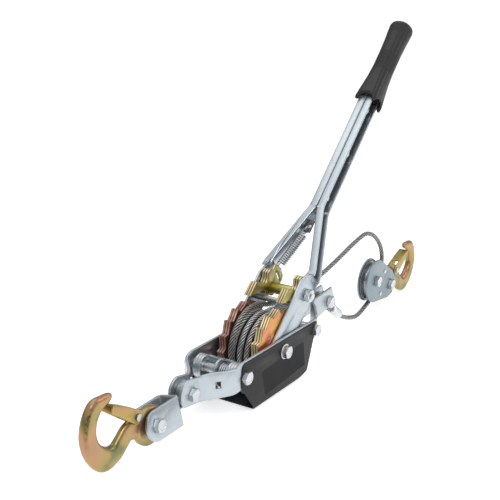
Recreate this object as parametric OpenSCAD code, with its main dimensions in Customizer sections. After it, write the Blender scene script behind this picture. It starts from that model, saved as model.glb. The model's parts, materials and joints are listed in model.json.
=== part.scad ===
// Come along winch: a hand cable puller with a ratchet drum, a lever handle, a snatch block
// and two safety hooks. Sizes are in millimetres.
// X runs from the front hook (-) to the rear hook (+), Y from the near side (-) to the
// far side (+), and Z is up. The origin is on the floor, straight below the drum axle.

/* [Drum] */
// Clear width between the two ratchet wheels
drum_w = 31.6; // [30:0.2:36]
// Diameter of the wire rope
cable_d = 6; // [5:0.25:6.5]
// Radius of the winding, to the middle of the rope
winding_r = 36; // [33:0.5:36]
// Turns of rope on the drum
winding_turns = 2.75; // [2:0.25:3]
// Outer diameter of the bush that the drum and the handle turn on
bush_d = 16; // [13:0.5:20]
// Diameter of the rivets that tie the wheels to the core
drum_rivet_d = 6; // [4:0.5:8]

/* [Ratchet wheels] */
// Number of teeth on each wheel
teeth = 16; // [16:1:16]
// Radius over the tooth tips
tooth_tip_r = 46; // [45:0.1:46]
// Depth of the teeth
tooth_depth = 5.5; // [4.5:0.1:5.6]
// Gap between the tooth tips and the cover
wheel_gap = 0.4; // [0.4:0.1:3]
// Thickness of one lamination of a wheel or a pawl
lamination_t = 2.9; // [2.4:0.1:3.2]

/* [Frame] */
// Thickness of the frame plates
plate_t = 3; // [2.5:0.25:4]
// Thickness of the cover sheet
cover_t = 1.4; // [1:0.1:1.4]
// Radius of the bends along the cover
cover_bend_r = 5; // [4:0.5:8]
// Height of the top edge of the cover above the axle
cover_rise = 13.1; // [12:0.1:14]
// Distance from the axle to the nose bolt
nose_reach = 137; // [134:0.5:139]
// Clear width between the frame plates at the nose
nose_gap = 10.8; // [10.4:0.2:13]
// Distance from the axle to the anchor bolt
anchor_reach = 151; // [148:0.5:153]
// Clear width between the frame plates at the tail
tail_gap = 10; // [9:0.5:14]

/* [Bolts] */
// Shank diameter of all the bolts
bolt_d = 8; // [7:0.25:8.5]
// Width across the flats of the heads and nuts
hex_af = 13; // [12:0.5:15]
// Height of the bolt heads
head_h = 5.3; // [4:0.1:7]
// Height of the nuts
nut_h = 6.5; // [5:0.1:8]
// Outer diameter of the washers
washer_d = 17; // [15:0.5:18]

/* [Holding pawl] */
// Radius of the pawl ears round the cross bolt
ear_r = 13; // [11:0.5:13]
// Outer diameter of the tube on the cross bolt
cross_tube_d = 11; // [10.5:0.5:12]
// Wire diameter of the torsion spring
torsion_wire_d = 2; // [1.6:0.1:2.2]
// Curls of the torsion spring
torsion_curls = 4; // [3:1:4]

/* [Handle] */
// Angle of the handle above the floor
handle_lean = 44.3; // [44:0.1:46]
// Length from the axle to the end of the grip
handle_len = 463; // [440:1:480]
// Thickness of the arm sheet
arm_t = 2.6; // [2.2:0.1:3]
// Width of the channel part of the arms
arm_w = 20; // [18:0.5:22]
// Width of the flat part of the arms round the axle
arm_foot_w = 39; // [36:0.5:41]
// Height of the arm flanges
flange_h = 6.3; // [5:0.1:6.6]
// Diameter of the handle rivets
rivet_d = 5; // [4:0.25:6]
// Length of the grip
grip_len = 122; // [110:1:130]
// Radius of the grip at its waist
grip_r = 13.6; // [13.6:0.1:15]
// Diameter of the spacer rod between the arms
spacer_rod_d = 6.4; // [5.5:0.1:6.6]

/* [Tension spring] */
// Wire diameter of the tension spring
spring_wire_d = 1.6; // [1.2:0.1:1.7]
// Outer diameter of the tension spring
spring_d = 10.6; // [9.6:0.1:11]
// Curls of the tension spring
spring_curls = 16; // [12:1:17]

/* [Drive pawl] */
// Outer diameter of the sleeve between the pawls
sleeve_d = 13; // [12:0.5:13]
// Width of the slot in the spring tab
tab_slot_w = 4.2; // [3.8:0.1:4.6]

/* [Clevis] */
// Distance from the nose bolt to the hook bolt
chain_len = 62.5; // [60:0.5:66]
// Droop of the clevis below level
chain_droop = 1.5; // [0:0.5:3]
// Lean of the clevis and the front hook to the near side
chain_roll = 14; // [0:0.5:15]
// Thickness of the clevis strap
clevis_t = 3; // [2.5:0.1:3.4]
// Drop from the nose bolt to the swivel shank
shank_drop = 8.8; // [6:0.2:9]
// Clear width between the clevis ears
clevis_gap = 19; // [17:0.5:22]
// Height of the clevis
clevis_h = 31; // [28:0.5:34]
// Diameter of the swivel shank
swivel_d = 9.6; // [8:0.2:10]

/* [Hooks] */
// Size of the rear hook against the front one
rear_hook_size = 0.93; // [0.85:0.01:1]
// Diameter of the loose hole in the hook eye
hook_bore_d = 10.6; // [10.6:0.1:12]
// Thickness of the hook eye
hook_eye_t = 9.4; // [8:0.2:9.4]
// Radius of the hook eye
hook_eye_r = 20; // [18:0.5:20]
// Thickness of the hook at its bowl
hook_bowl_t = 12; // [10:0.5:13]
// Sheet thickness of the latch
latch_t = 1.3; // [1:0.1:1.5]
// Diameter of the latch pin
latch_pin_d = 4; // [3:0.25:4.5]
// Wire diameter of the latch springs
latch_wire_d = 0.8; // [0.6:0.05:0.85]

/* [Snatch block] */
// Radius of the sheave over its rims
sheave_r = 25.9; // [24:0.1:25.9]
// Width of the sheave
sheave_w = 8.8; // [8.2:0.2:9.6]
// Radius of the block cheeks round the sheave
cheek_r = 28.7; // [28:0.1:31]
// Thickness of the block cheeks
cheek_t = 2.2; // [1.6:0.1:3]
// Distance from the sheave bolt to the hook bolt
block_len = 47.7; // [47.7:0.1:50]
// Tilt of the block, hook end down
block_tilt = 20; // [19:0.25:21]
// Outer diameter of the cable ferrule
ferrule_d = 12.6; // [12.6:0.1:15]

/* [Hidden] */

$fn = 48;

// clearances, on the radius or on one face
running = 0.05;
hole_gap = 0.2;
side_gap = 0.3;
layer_gap = 0.8;
lamination_gap = 0.15;
touch = 0.05;

// the drum axle above the floor of the cover
axle_z = cover_t + wheel_gap + tooth_tip_r;

// layers outward from the middle plane
wheel_in = drum_w / 2;
pack_t = 3 * lamination_t + 2 * lamination_gap;
wheel_out = wheel_in + pack_t;
arm_in = wheel_out + layer_gap;
arm_out = arm_in + arm_t;
frame_in = arm_out + layer_gap;
frame_out = frame_in + plate_t;
cover_out = frame_out + cover_t;
nose_out = nose_gap / 2 + plate_t;
tail_out = tail_gap / 2 + plate_t;
washer_t = 1.6;

// places in the side view, from the axle
nose_z = -5.9;
anchor_z = 7.6;
cross_at = [-78, -2.6];
rear_at = [69, 3.1];
joggle_nose = [15 - nose_reach, 42 - nose_reach];
joggle_tail = [anchor_reach - 73, anchor_reach - 43];
leg_hole = [6, 7.6];
leg_hole_z = -3.5;

// the cover, with its foot on the floor, and the depth of the plates inside it
cover_rim = axle_z - cover_t - 6.4;
cover_front = -84;
cover_rear = 73;
cover_foot = [-56.5, 30];

// teeth: the first tip and the share of the pitch that the steep face takes
tip_a = 156.4;
steep_a = 5;
root_r = tooth_tip_r - tooth_depth;
winding_end_gap = 0.4;
winding_start_a = 257;
rings_a_turn = 24;
core_r = (winding_r - cable_d / 2) * cos(180 / rings_a_turn) - touch;

// the rope's second layer, which leaves the drum for the block
lead_gap = 0.5;
lead_r = winding_r + cable_d + lead_gap;
lead_y = 9;
lead_a = [250, 90];
lead_steps = 14;

// the rope's free route from the drum over the sheave to the ferrule, chosen by hand
cable_points = [
    [10, 9, 89.6], [20, 8.5, 87.2], [30.5, 8, 83.9], [42, 7.5, 82.4], [56, 7, 82],
    [80, 6, 82.6], [110, 4.5, 84.4], [139, 3, 87.4], [181, 2, 96.4], [224, 1.5, 107.4],
    [248, 1, 112.4], [262, 1, 113.4], [276, 1, 109.9], [288, 1, 103.9], [300, 1, 94.9],
    [311, 1, 81.9], [316, 1, 67.4], [315, 1, 54.4], [311.5, 1, 44.4], [309.5, 1, 38.4],
    [307.5, 1, 32.9], [304, 1, 28.4], [299, 1, 23.9], [291, 1, 18.9], [282, 1, 14.4],
    [271, 1, 10.4], [260, 0.5, 7.6], [248, 0, 6], [236, 0, 7], [218, 0, 11.9],
    [206, 0, 16.9]
];
ferrule_end = [192, 0, 24.4];
ferrule_len = 25;
eye_ring_r = 9;
eye_leg_gap = 0.5;

// handle, in its own frame: X along the arms, Z square to them on the front side
foot_s = 78;
channel_s = 95;
joined_s = 180;
arm_end_inset = 26;
arm_split = 0.1;
flange_s = 92;
rivet_s = [198.3, 262.8, 329.2];
rod_at = [52, 9.6];
pivot_at = [72.5, -4];
pivot_r = 9.5;
tab_hook = [21.4, 5.5];
lug_hole = [156, 2, 1];
lug_hole_d = 5.2;
lug_s = [148, 164];
lug_half = 3.6;

// the nose of the drive pawl and its other corners, from its pivot
pawl_front = [
    [-10.2, 7.7], [-12.1, 14.4], [-15.4, 19.6], [-20.5, 24.4], [-23.4, 25.7],
    [-32.1, 35.4], [-13.9, 35.4], [-8.2, 24.7], [-4.3, 16.6]
];
pawl_tail = [[2, 17], [7.3, 21.4], [12.6, 19.7], [15.5, 14], [12.8, 5.5]];
tab_ring = [
    [15.4, 14.3], [21.7, 14.6], [24.8, 9.2], [25.4, 1.6], [22.1, -9.1],
    [16.5, -12.1], [9, -10.5]
];
tab_slot = [[17.3, 5.7], [14.4, -6.5]];

// the holding pawl in a tooth gap, from the cross bolt, and its lift at rest
hold_nose = [
    [45.6, -22.8], [33.8, -15.2], [28, -12.3], [18, -4.8], [9, 9], [-3, -12.5],
    [9, -17], [26, -27.8], [38, -30.8], [43.8, -29.4]
];
hold_lift = 8;

// chain of the front hook, from the nose bolt
clevis_base = 23.4;
clevis_out = clevis_gap / 2 + clevis_t;
hook_pitch = 5;
hook_roll = 12;

// hook: middle line from the bolt with half its height and half its thickness
latch_at = [22, 16.5];
latch_lean = 25.3;
latch_len = 42;
hook_line = [
    [12, 2, 12, 4.3], [20, 4, 11.5, 4.4], [31.4, 3.2, 10.3, 4.5], [40, -4, 10, 4.7],
    [49.6, -11.2, 10.3, 5.2], [64, -12, 12, hook_bowl_t / 2], [78.3, -0.7, 10.2, hook_bowl_t / 2],
    [85, 15, 9.2, hook_bowl_t / 2], [83.5, 30, 8.8, 5.6], [77, 40.7, 9, 5],
    [68, 44, 6.7, 4.4], [59.5, 46, 4.8, 3.8], [56, 47.3, 3.4, 3], [54, 48.3, 1.6, 1.6]
];
latch_in = hook_eye_t / 2 + side_gap;
latch_out = latch_in + latch_t;
lug_y = 0.4;

// the block stands by its hook bolt
block_bolt = [332.9, 26.8];
block_y = 1;
rear_level = -2.5;
cheek_in = sheave_w / 2 + 2 * side_gap;
cheek_out = cheek_in + cheek_t;
sheave_bush_d = 12;

function unit(v) = v / norm(v);
function left(v) = [-v[1], v[0]];
function arc(c, r, a0, a1, n) =
    [for (i = [0 : n]) let (a = a0 + (a1 - a0) * i / n) [c[0] + r * cos(a), c[1] + r * sin(a)]];

// offset direction at a point of a path
function mitre(p, i) =
    let (a = i > 0 ? unit(left(p[i] - p[i - 1])) : undef)
    let (b = i < len(p) - 1 ? unit(left(p[i + 1] - p[i])) : undef)
    a == undef ? b : b == undef ? a : (a + b) / (1 + a * b);

// outline of a bent sheet: the path on one face and the same path t to its left
function strip(p, t) =
    concat(p, [for (i = [len(p) - 1 : -1 : 0]) p[i] + t * mitre(p, i)]);

// smooth curve through points of any number of values
function smooth(p, n) =
    let (last = len(p) - 1)
    concat(
        [for (i = [0 : last - 1], k = [0 : n - 1])
            let (a = p[max(i - 1, 0)], b = p[i], c = p[i + 1], d = p[min(i + 2, last)], u = k / n)
            b + (c - a) * u / 2 + (2 * a - 5 * b + 4 * c - d) * u * u / 2
                + (3 * b - 3 * c + d - a) * u * u * u / 2],
        [p[last]]);

function tangents(p) =
    [for (i = [0 : len(p) - 1]) unit(p[min(i + 1, len(p) - 1)] - p[max(i - 1, 0)])];
function square_to(v, t) = unit(v - (v * t) * t);

// rings of a tube along points; side is any direction off the first tangent
function tube_rings(p, r, sides, side) =
    let (t = tangents(p))
    let (n = [for (i = 0, v = square_to(side, t[0]); i < len(p);
        i = i + 1, v = i < len(p) ? square_to(v, t[i]) : v) v])
    [for (i = [0 : len(p) - 1])
        [for (k = [0 : sides - 1]) let (a = 360 * (k + 0.5) / sides)
            p[i] + r * cos(a) * n[i] + r * sin(a) * cross(t[i], n[i])]];

// least gap of a wound tube to itself, between ring middles at least skip rings apart
function least_gap(p, d, skip) =
    min([for (i = [0 : len(p) - 1 - skip], k = [i + skip : len(p) - 1]) norm(p[i] - p[k])]) - d;

module loft(rings) {
    n = len(rings[0]);
    last = (len(rings) - 1) * n;
    points = [for (r = rings, p = r) p];
    sides = [for (i = [0 : len(rings) - 2], k = [0 : n - 1], half = [0, 1])
        let (a = i * n + k, b = i * n + (k + 1) % n, c = b + n, d = a + n)
        half == 0 ? [a, d, b] : [b, d, c]];
    caps = concat(
        [for (k = [1 : n - 2]) [0, k, k + 1]],
        [for (k = [1 : n - 2]) [last, last + k + 1, last + k]]);
    polyhedron(points = points, faces = concat(sides, caps), convexity = 8);
}

module tube(p, d, sides, side) {
    loft(tube_rings(p, d / 2, sides, side));
}

// an outline in the side view, as a plate from y0 to y1
module plate_y(y0, y1) {
    translate([0, y1, 0])
        rotate([90, 0, 0])
            linear_extrude(height = y1 - y0)
                children();
}

module rod_y(d, y0, y1, p = [0, 0]) {
    translate([p[0], y0, p[1]])
        rotate([-90, 0, 0])
            cylinder(d = d, h = y1 - y0);
}

module hex_y(y0, y1) {
    translate([0, y0, 0])
        rotate([-90, 30, 0])
            cylinder(d = hex_af / cos(30), h = y1 - y0, $fn = 6);
}

// a bolt whose head bears on y0 and whose nut bears on y1
module bolt(y0, y1) {
    hex_y(y0 - head_h, y0);
    rod_y(bolt_d, y0 - head_h / 2, y1 + nut_h + bolt_d / 4);
}

module nut(y0) {
    difference() {
        hex_y(y0, y0 + nut_h);
        rod_y(bolt_d + 2 * touch, y0 - 1, y0 + nut_h + 1);
    }
}

module ring_y(d_out, d_in, y0, y1, p = [0, 0]) {
    difference() {
        rod_y(d_out, y0, y1, p);
        rod_y(d_in, y0 - 1, y1 + 1, p);
    }
}

module bolt_hole(p, half) {
    rod_y(bolt_d + 2 * hole_gap, -half, half, p);
}

module at_axle() {
    translate([0, 0, axle_z])
        children();
}

module at_side(p) {
    translate([p[0], 0, p[1]])
        children();
}

module at_handle() {
    at_axle()
        rotate([0, -handle_lean, 0])
            children();
}

module at_swivel() {
    at_axle()
        at_side([-nose_reach, nose_z])
            rotate([0, -chain_droop, 0])
                children();
}

module at_chain() {
    at_swivel()
        translate([0, 0, -shank_drop])
            rotate([-chain_roll, 0, 0])
                children();
}

module at_front_hook() {
    at_chain()
        at_side([-chain_len, 0])
            rotate([0, -hook_pitch, 180])
                rotate([-hook_roll, 0, 0])
                    children();
}

module at_block() {
    translate([block_bolt[0], block_y, block_bolt[1]])
        rotate([0, block_tilt, 0])
            translate([-block_len, 0, 0])
                children();
}

module at_rear_hook() {
    translate([block_bolt[0], block_y, block_bolt[1]])
        rotate([0, -rear_level, 0])
            children();
}

// Frame

module frame_outline() {
    nose = -nose_reach;
    tail = anchor_reach;
    polygon(concat(
        arc([nose - 4.5, nose_z + 2.5], 15, 95, 238, 14),
        [[nose + 16, -19.6], [nose + 30, -18.2], [nose + 44, -16.1], [-80, -14.6],
            [-58, -cover_rim], [40, -cover_rim], [56, -33], [69, -9], [80, -5.6],
            [tail - 26, -4.4], [tail + 10, 2.6], [tail + 11.5, 11.2], [tail + 5, 24.6],
            [tail - 39, 20.8], [86, 23.2], [79, 14.6], [-84, 14], [nose + 44, 11.6],
            [nose + 37, 10.4], [nose + 26, 10.4], [nose + 19, 9], [nose + 12, 8.2]]));
}

// in the middle of the slanting length behind the nose, square to the sheet
module leg_hole_cut() {
    slant = [joggle_nose[1] - joggle_nose[0], nose_out - frame_out];
    translate([joggle_nose[0] + slant[0] / 2, slant[1] / 2 - nose_out, leg_hole_z])
        rotate(atan2(slant[1], slant[0]))
            cube([leg_hole[0], 3 * plate_t, leg_hole[1]], center = true);
}

module frame_plate() {
    path = [
        [-nose_reach - 25, -nose_out], [joggle_nose[0], -nose_out], [joggle_nose[1], -frame_out],
        [joggle_tail[0], -frame_out], [joggle_tail[1], -tail_out], [anchor_reach + 15, -tail_out]
    ];
    difference() {
        intersection() {
            plate_y(-frame_out, 0)
                frame_outline();
            translate([0, 0, -axle_z])
                linear_extrude(height = 2 * axle_z)
                    polygon(strip(path, plate_t));
        }
        for (p = [[0, 0], cross_at, rear_at, [-nose_reach, nose_z], [anchor_reach, anchor_z]])
            bolt_hole(p, frame_out + 1);
        leg_hole_cut();
    }
}

module frame_plate_near() {
    color("silver")
        at_axle()
            frame_plate();
}

module frame_plate_far() {
    color("silver")
        at_axle()
            mirror([0, 1, 0])
                frame_plate();
}

module cover_side() {
    top = axle_z + cover_rise;
    polygon(concat(
        arc([cover_front + 7, top - 7], 7, 180, 90, 6),
        arc([cover_rear - 3, top - 3], 3, 90, 0, 3),
        [[cover_rear - 19, 6], [cover_foot[1], 0], [cover_foot[0], 0], [cover_front, 34]]));
}

module cover_section(half, floor_z, r) {
    top = axle_z + cover_rise + 1;
    polygon(concat(
        arc([-half + r, floor_z + r], r, 180, 270, 6),
        arc([half - r, floor_z + r], r, 270, 360, 6),
        [[half, top], [-half, top]]));
}

module frame_cover() {
    color([0.12, 0.12, 0.13])
        difference() {
            intersection() {
                plate_y(-cover_out - 1, cover_out + 1)
                    cover_side();
                translate([cover_front - 1, 0, 0])
                    rotate([90, 0, 90])
                        linear_extrude(height = cover_rear - cover_front + 2)
                            difference() {
                                cover_section(cover_out, 0, cover_bend_r);
                                cover_section(frame_out, cover_t, cover_bend_r - cover_t);
                            }
            }
            at_axle()
                for (p = [[0, 0], cross_at, rear_at])
                    bolt_hole(p, cover_out + 1);
        }
}

module nose_bolt() {
    color("gainsboro")
        at_axle()
            at_side([-nose_reach, nose_z])
                bolt(-nose_out, nose_out);
}

module cross_bolt() {
    color("gainsboro")
        at_axle()
            at_side(cross_at)
                bolt(-cover_out, cover_out);
}

module rear_bolt() {
    color("gainsboro")
        at_axle()
            at_side(rear_at)
                bolt(-cover_out, cover_out);
}

module axle_bolt() {
    color("gainsboro")
        at_axle()
            bolt(-cover_out - washer_t, cover_out + washer_t);
}

module anchor_bolt() {
    color("gainsboro")
        at_axle()
            at_side([anchor_reach, anchor_z])
                bolt(-tail_out, tail_out);
}

module frame_nuts() {
    places = [
        [[-nose_reach, nose_z], nose_out], [cross_at, cover_out], [rear_at, cover_out],
        [[0, 0], cover_out + washer_t], [[anchor_reach, anchor_z], tail_out]
    ];
    color("gainsboro")
        at_axle()
            for (n = places)
                at_side(n[0])
                    nut(n[1]);
}

module axle_washers() {
    color("silver")
        at_axle()
            for (y = [-cover_out - washer_t, cover_out])
                ring_y(washer_d, bolt_d + 2 * hole_gap, y, y + washer_t);
}

module cross_tube() {
    color("lightgray")
        at_axle()
            ring_y(cross_tube_d, bolt_d + 2 * hole_gap, -frame_in, frame_in, cross_at);
}

module rear_spacer() {
    color("lightgray")
        at_axle()
            ring_y(cross_tube_d + 1, bolt_d + 2 * hole_gap, -frame_in, frame_in, rear_at);
}

module axle_bush() {
    color("goldenrod")
        at_axle()
            ring_y(bush_d, bolt_d + 2 * hole_gap, -frame_in, frame_in);
}

// curls round the cross tube, one leg through the near plate and one on the pawl web
module holding_spring() {
    r = (cross_tube_d / 2 + torsion_wire_d / 2 + 0.1) / cos(22.5);
    pitch = torsion_wire_d + 0.5;
    y0 = -4.5;
    n = 8 * torsion_curls;
    curls = [for (i = [0 : n]) let (a = 90 + 45 * i)
        [r * cos(a), y0 - pitch * i / 8, r * sin(a)]];
    first = curls[0];
    last = curls[n];
    slant = unit([nose_out - frame_out, joggle_nose[0] - joggle_nose[1], 0]);
    hole = [(joggle_nose[0] + joggle_nose[1]) / 2 - cross_at[0],
        (plate_t - nose_out - frame_out) / 2, leg_hole_z - cross_at[1]];
    route = concat(
        [first + [7, 0.2, -0.4], first + [4.5, 0.1, 0]], curls,
        [last + [-6, 0, -1.5], last + [-16, 0.5, -5.5], hole - 6 * slant, hole + 6 * slant]);
    echo("least gap of the torsion spring to itself", least_gap(route, torsion_wire_d, 6));
    color("silver")
        at_axle()
            at_side(cross_at)
                tube(route, torsion_wire_d, 6, [0, 1, 0]);
}

// Drum

module ratchet_outline() {
    polygon([for (k = [0 : teeth - 1], root = [0, 1])
        let (a = tip_a - 360 * k / teeth - root * steep_a, r = root == 1 ? root_r : tooth_tip_r)
        [r * cos(a), r * sin(a)]]);
}

module drum_rivet_places() {
    for (a = [45 : 90 : 315])
        rotate([0, a, 0])
            translate([root_r * 0.64, 0, 0])
                children();
}

module laminations(count, y0) {
    for (i = [0 : count - 1])
        translate([0, y0 + i * (lamination_t + lamination_gap), 0])
            children();
}

module ratchet_wheel() {
    color([0.78, 0.66, 0.35])
        laminations(3, wheel_in)
            difference() {
                plate_y(0, lamination_t)
                    ratchet_outline();
                rod_y(bush_d + 2 * running, -1, lamination_t + 1);
                drum_rivet_places()
                    rod_y(drum_rivet_d + 2 * touch, -1, lamination_t + 1);
            }
}

module ratchet_near() {
    at_axle()
        translate([0, -wheel_in - wheel_out, 0])
            ratchet_wheel();
}

module ratchet_far() {
    at_axle()
        ratchet_wheel();
}

module drum_core() {
    color([0.35, 0.33, 0.3])
        at_axle()
            difference() {
                rod_y(2 * core_r, -wheel_in, wheel_in);
                rod_y(bush_d + 2 * running, -wheel_in - 1, wheel_in + 1);
                drum_rivet_places()
                    rod_y(drum_rivet_d + 2 * touch, -wheel_in - 1, wheel_in + 1);
            }
}

module drum_rivets() {
    color("gray")
        at_axle()
            drum_rivet_places()
                rod_y(drum_rivet_d, -wheel_out, wheel_out);
}

module cable_winding() {
    half = wheel_in - cable_d / 2 - winding_end_gap;
    n = rings_a_turn * winding_turns;
    turns = [for (i = [0 : n]) let (a = winding_start_a - 360 * i / rings_a_turn)
        [winding_r * cos(a), half - 2 * half * i / n, winding_r * sin(a)]];
    t0 = unit(turns[0] - turns[1]);
    t1 = unit(turns[n] - turns[n - 1]);
    route = concat([turns[0] + cable_d * t0], turns, [turns[n] + cable_d * t1]);
    echo("least gap of the winding to itself", least_gap(route, cable_d, rings_a_turn / 2));
    color("lightslategray")
        at_axle()
            tube(route, cable_d, 6, [0, 1, 0]);
}

// Free cable

function lead_points() =
    [for (i = [0 : lead_steps]) let (a = lead_a[0] + (lead_a[1] - lead_a[0]) * i / lead_steps)
        [lead_r * cos(a), lead_y, axle_z + lead_r * sin(a)]];

module free_cable() {
    anchor = [anchor_reach, 0, axle_z + anchor_z];
    straight = ferrule_end + cable_d * unit(ferrule_end - anchor);
    lead = lead_points();
    route = concat(lead, cable_points, [straight, ferrule_end]);
    fine = concat(lead, smooth(concat([lead[lead_steps]], cable_points, [straight]), 2),
        [ferrule_end]);
    rings = [for (i = [0 : len(fine) - 1]) if (i != lead_steps) fine[i]];
    echo("length of the free cable",
        [for (i = 0, s = 0; i < len(rings); i = i + 1,
            s = i < len(rings) ? s + norm(rings[i] - rings[i - 1]) : s) s][len(rings) - 1]);
    echo("rings of the free cable", len(rings), "route points", len(route));
    color("lightslategray")
        tube(rings, cable_d, 8, [0, 1, 0]);
}

module along_ferrule() {
    d = unit([ferrule_end[0] - anchor_reach, ferrule_end[2] - axle_z - anchor_z]);
    translate([anchor_reach, 0, axle_z + anchor_z])
        rotate([0, -atan2(d[1], d[0]), 0])
            children();
}

ferrule_far = norm([ferrule_end[0] - anchor_reach, ferrule_end[2] - axle_z - anchor_z]);

module cable_ferrule() {
    color("lightgray")
        along_ferrule()
            translate([ferrule_far - ferrule_len, 0, 0])
                rotate([0, 90, 0])
                    cylinder(d = ferrule_d, h = ferrule_len);
}

// the rope's loop round the anchor bolt, with both legs up to the ferrule's face
module cable_eye() {
    face = ferrule_far - ferrule_len;
    leg = [face - cable_d, cable_d / 2 + eye_leg_gap / 2];
    a = atan2(leg[1], leg[0]) + acos(eye_ring_r / norm(leg));
    ring = arc([0, 0], eye_ring_r, a, 360 - a, 16);
    route = concat([[face, leg[1]], leg], ring, [[leg[0], -leg[1]], [face, -leg[1]]]);
    points = [for (p = route) [p[0], 0, p[1]]];
    echo("least gap of the rope's eye to itself", least_gap(points, cable_d, 5));
    color("lightslategray")
        along_ferrule()
            tube(points, cable_d, 8, [0, 1, 0]);
}

// Handle

module arm_outline() {
    end = handle_len - arm_end_inset;
    polygon(concat(
        arc([0, 0], arm_foot_w / 2, 90, 270, 24),
        [[foot_s, -arm_foot_w / 2], [channel_s, -arm_w / 2], [end, -arm_w / 2],
            [end, arm_w / 2], [channel_s, arm_w / 2], [foot_s, arm_foot_w / 2]]));
}

module handle_arm() {
    end = handle_len - arm_end_inset;
    joined_y = arm_split + arm_t;
    path = [[-arm_foot_w, -arm_out], [channel_s, -arm_out], [joined_s, -joined_y], [end, -joined_y]];
    edge = [[flange_s, -arm_out], [channel_s, -arm_out], [joined_s, -joined_y], [end, -joined_y]];
    difference() {
        union() {
            intersection() {
                plate_y(-arm_out, 0)
                    arm_outline();
                translate([0, 0, -arm_foot_w])
                    linear_extrude(height = 2 * arm_foot_w)
                        polygon(strip(path, arm_t));
            }
            for (z = [-arm_w / 2, arm_w / 2 - arm_t])
                translate([0, 0, z])
                    linear_extrude(height = arm_t)
                        polygon(strip(edge, -flange_h));
        }
        rod_y(bush_d + 2 * running, -arm_out - 1, -arm_in + 1);
        bolt_hole(pivot_at, arm_out + 1);
        for (s = rivet_s)
            rod_y(rivet_d + 2 * touch, -arm_out, 1, [s, 0]);
    }
}

module handle_arm_near() {
    color("silver")
        at_handle()
            handle_arm();
}

// the far arm carries the lug for the tension spring
module handle_arm_far() {
    web_y = 5;
    color("silver")
        at_handle()
            union() {
                mirror([0, 1, 0])
                    handle_arm();
                difference() {
                    translate([lug_s[0], lug_hole[1] - lug_half, lug_hole[2] - arm_t / 2])
                        cube([lug_s[1] - lug_s[0], web_y + lug_half, arm_t]);
                    translate([lug_hole[0], lug_hole[1], -arm_t])
                        cylinder(d = lug_hole_d, h = 3 * arm_t);
                }
            }
}

module handle_rivets() {
    y = arm_split + arm_t;
    color("gainsboro")
        at_handle()
            for (s = rivet_s)
                translate([s, 0, 0]) {
                    rod_y(rivet_d, -y - 1, y + 1);
                    rod_y(rivet_d * 1.8, -y - 2.2, -y);
                    rod_y(rivet_d * 1.8, y, y + 2.2);
                }
}

module grip() {
    mouth = handle_len - grip_len;
    end = handle_len - arm_end_inset;
    flare = grip_r / 13.6;
    // along the handle from the mouth: share of the length, half width, half depth, squareness
    shape = [
        [0, 15.6, 16.4, 0.62], [0.03, 15.8, 16.6, 0.62], [0.12, 15, 15.4, 0.7],
        [0.26, 13.9, 14.2, 0.85], [0.42, 13.6, 13.6, 1], [0.62, 13.6, 13.6, 1],
        [0.78, 14.2, 14.2, 1], [0.88, 15, 15, 1], [0.94, 14.8, 14.8, 1],
        [0.975, 12.6, 12.6, 1], [0.995, 8.6, 8.6, 1], [1, 4, 4, 1]
    ];
    color([0.1, 0.1, 0.1])
        at_handle()
            difference() {
                loft([for (s = shape)
                    [for (k = [0 : 27])
                        let (c = cos(360 * k / 28), d = sin(360 * k / 28))
                        [mouth + grip_len * s[0],
                            flare * s[1] * sign(c) * pow(abs(c), s[3]),
                            flare * s[2] * sign(d) * pow(abs(d), s[3])]]]);
                translate([mouth - 1, -arm_split - arm_t - flange_h - touch, -arm_w / 2 - touch])
                    cube([end - mouth + 1 + touch, 2 * (arm_split + arm_t + flange_h + touch),
                        arm_w + 2 * touch]);
            }
}

module spacer_rod() {
    color("lightgray")
        at_handle()
            rod_y(spacer_rod_d, -arm_in, arm_in, rod_at);
}

module pawl_pivot_bolt() {
    color("gainsboro")
        at_handle()
            at_side(pivot_at)
                mirror([0, 1, 0])
                    bolt(-arm_out, arm_out);
}

module pawl_pivot_nut() {
    color("gainsboro")
        at_handle()
            at_side(pivot_at)
                mirror([0, 1, 0])
                    nut(arm_out);
}

// the spring hangs between the slot of the pawl tab and the lug of the far arm
module tension_spring() {
    r = (spring_d - spring_wire_d) / 2;
    low = [pivot_at[0] + tab_hook[0], wheel_in + lamination_t / 2, pivot_at[1] + tab_hook[1]];
    axis = unit(lug_hole - low);
    high = lug_hole - (lug_hole_d - spring_wire_d / 2 + 0.9) * axis;
    span = norm(high - low);
    across = square_to([0, 1, 0], axis);
    front = cross(across, axis);
    rise = r + 3;
    n = 8 * spring_curls;
    function at(x, y, z) = low + x * front + y * across + z * axis;
    low_loop = [for (a = [140 : 30 : 350]) at(0, r * cos(a), r * sin(a))];
    curls = [for (i = [0 : n]) let (a = 90 + 45 * i)
        at(r * cos(a), r * sin(a), rise + (span - 2 * rise) * i / n)];
    high_loop = [for (a = [0 : 30 : 210]) at(r * cos(a), 0, span + r * sin(a))];
    route = concat(low_loop, [at(0, r, 1.5)], curls,
        [at(0.6 * r, 0.6 * r, span - rise + 2.4)], high_loop);
    echo("least gap of the tension spring to itself", least_gap(route, spring_wire_d, 6));
    color("dimgray")
        at_handle()
            tube(route, spring_wire_d, 6, [1, 0, 0]);
}

// Drive pawl

module at_pawl() {
    at_handle()
        at_side(pivot_at)
            children();
}

module pawl_outline() {
    polygon(concat(pawl_front, pawl_tail));
    circle(r = pivot_r);
}

module pawl_lamination(y0) {
    difference() {
        plate_y(y0, y0 + lamination_t)
            pawl_outline();
        rod_y(bolt_d + 2 * running, y0 - 1, y0 + lamination_t + 1);
    }
}

module drive_pawl_near() {
    color([0.8, 0.7, 0.4])
        at_pawl()
            laminations(3, -wheel_out)
                pawl_lamination(0);
}

module drive_pawl_far() {
    color([0.8, 0.7, 0.4])
        at_pawl()
            laminations(2, wheel_in + lamination_t + lamination_gap)
                pawl_lamination(0);
}

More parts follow.
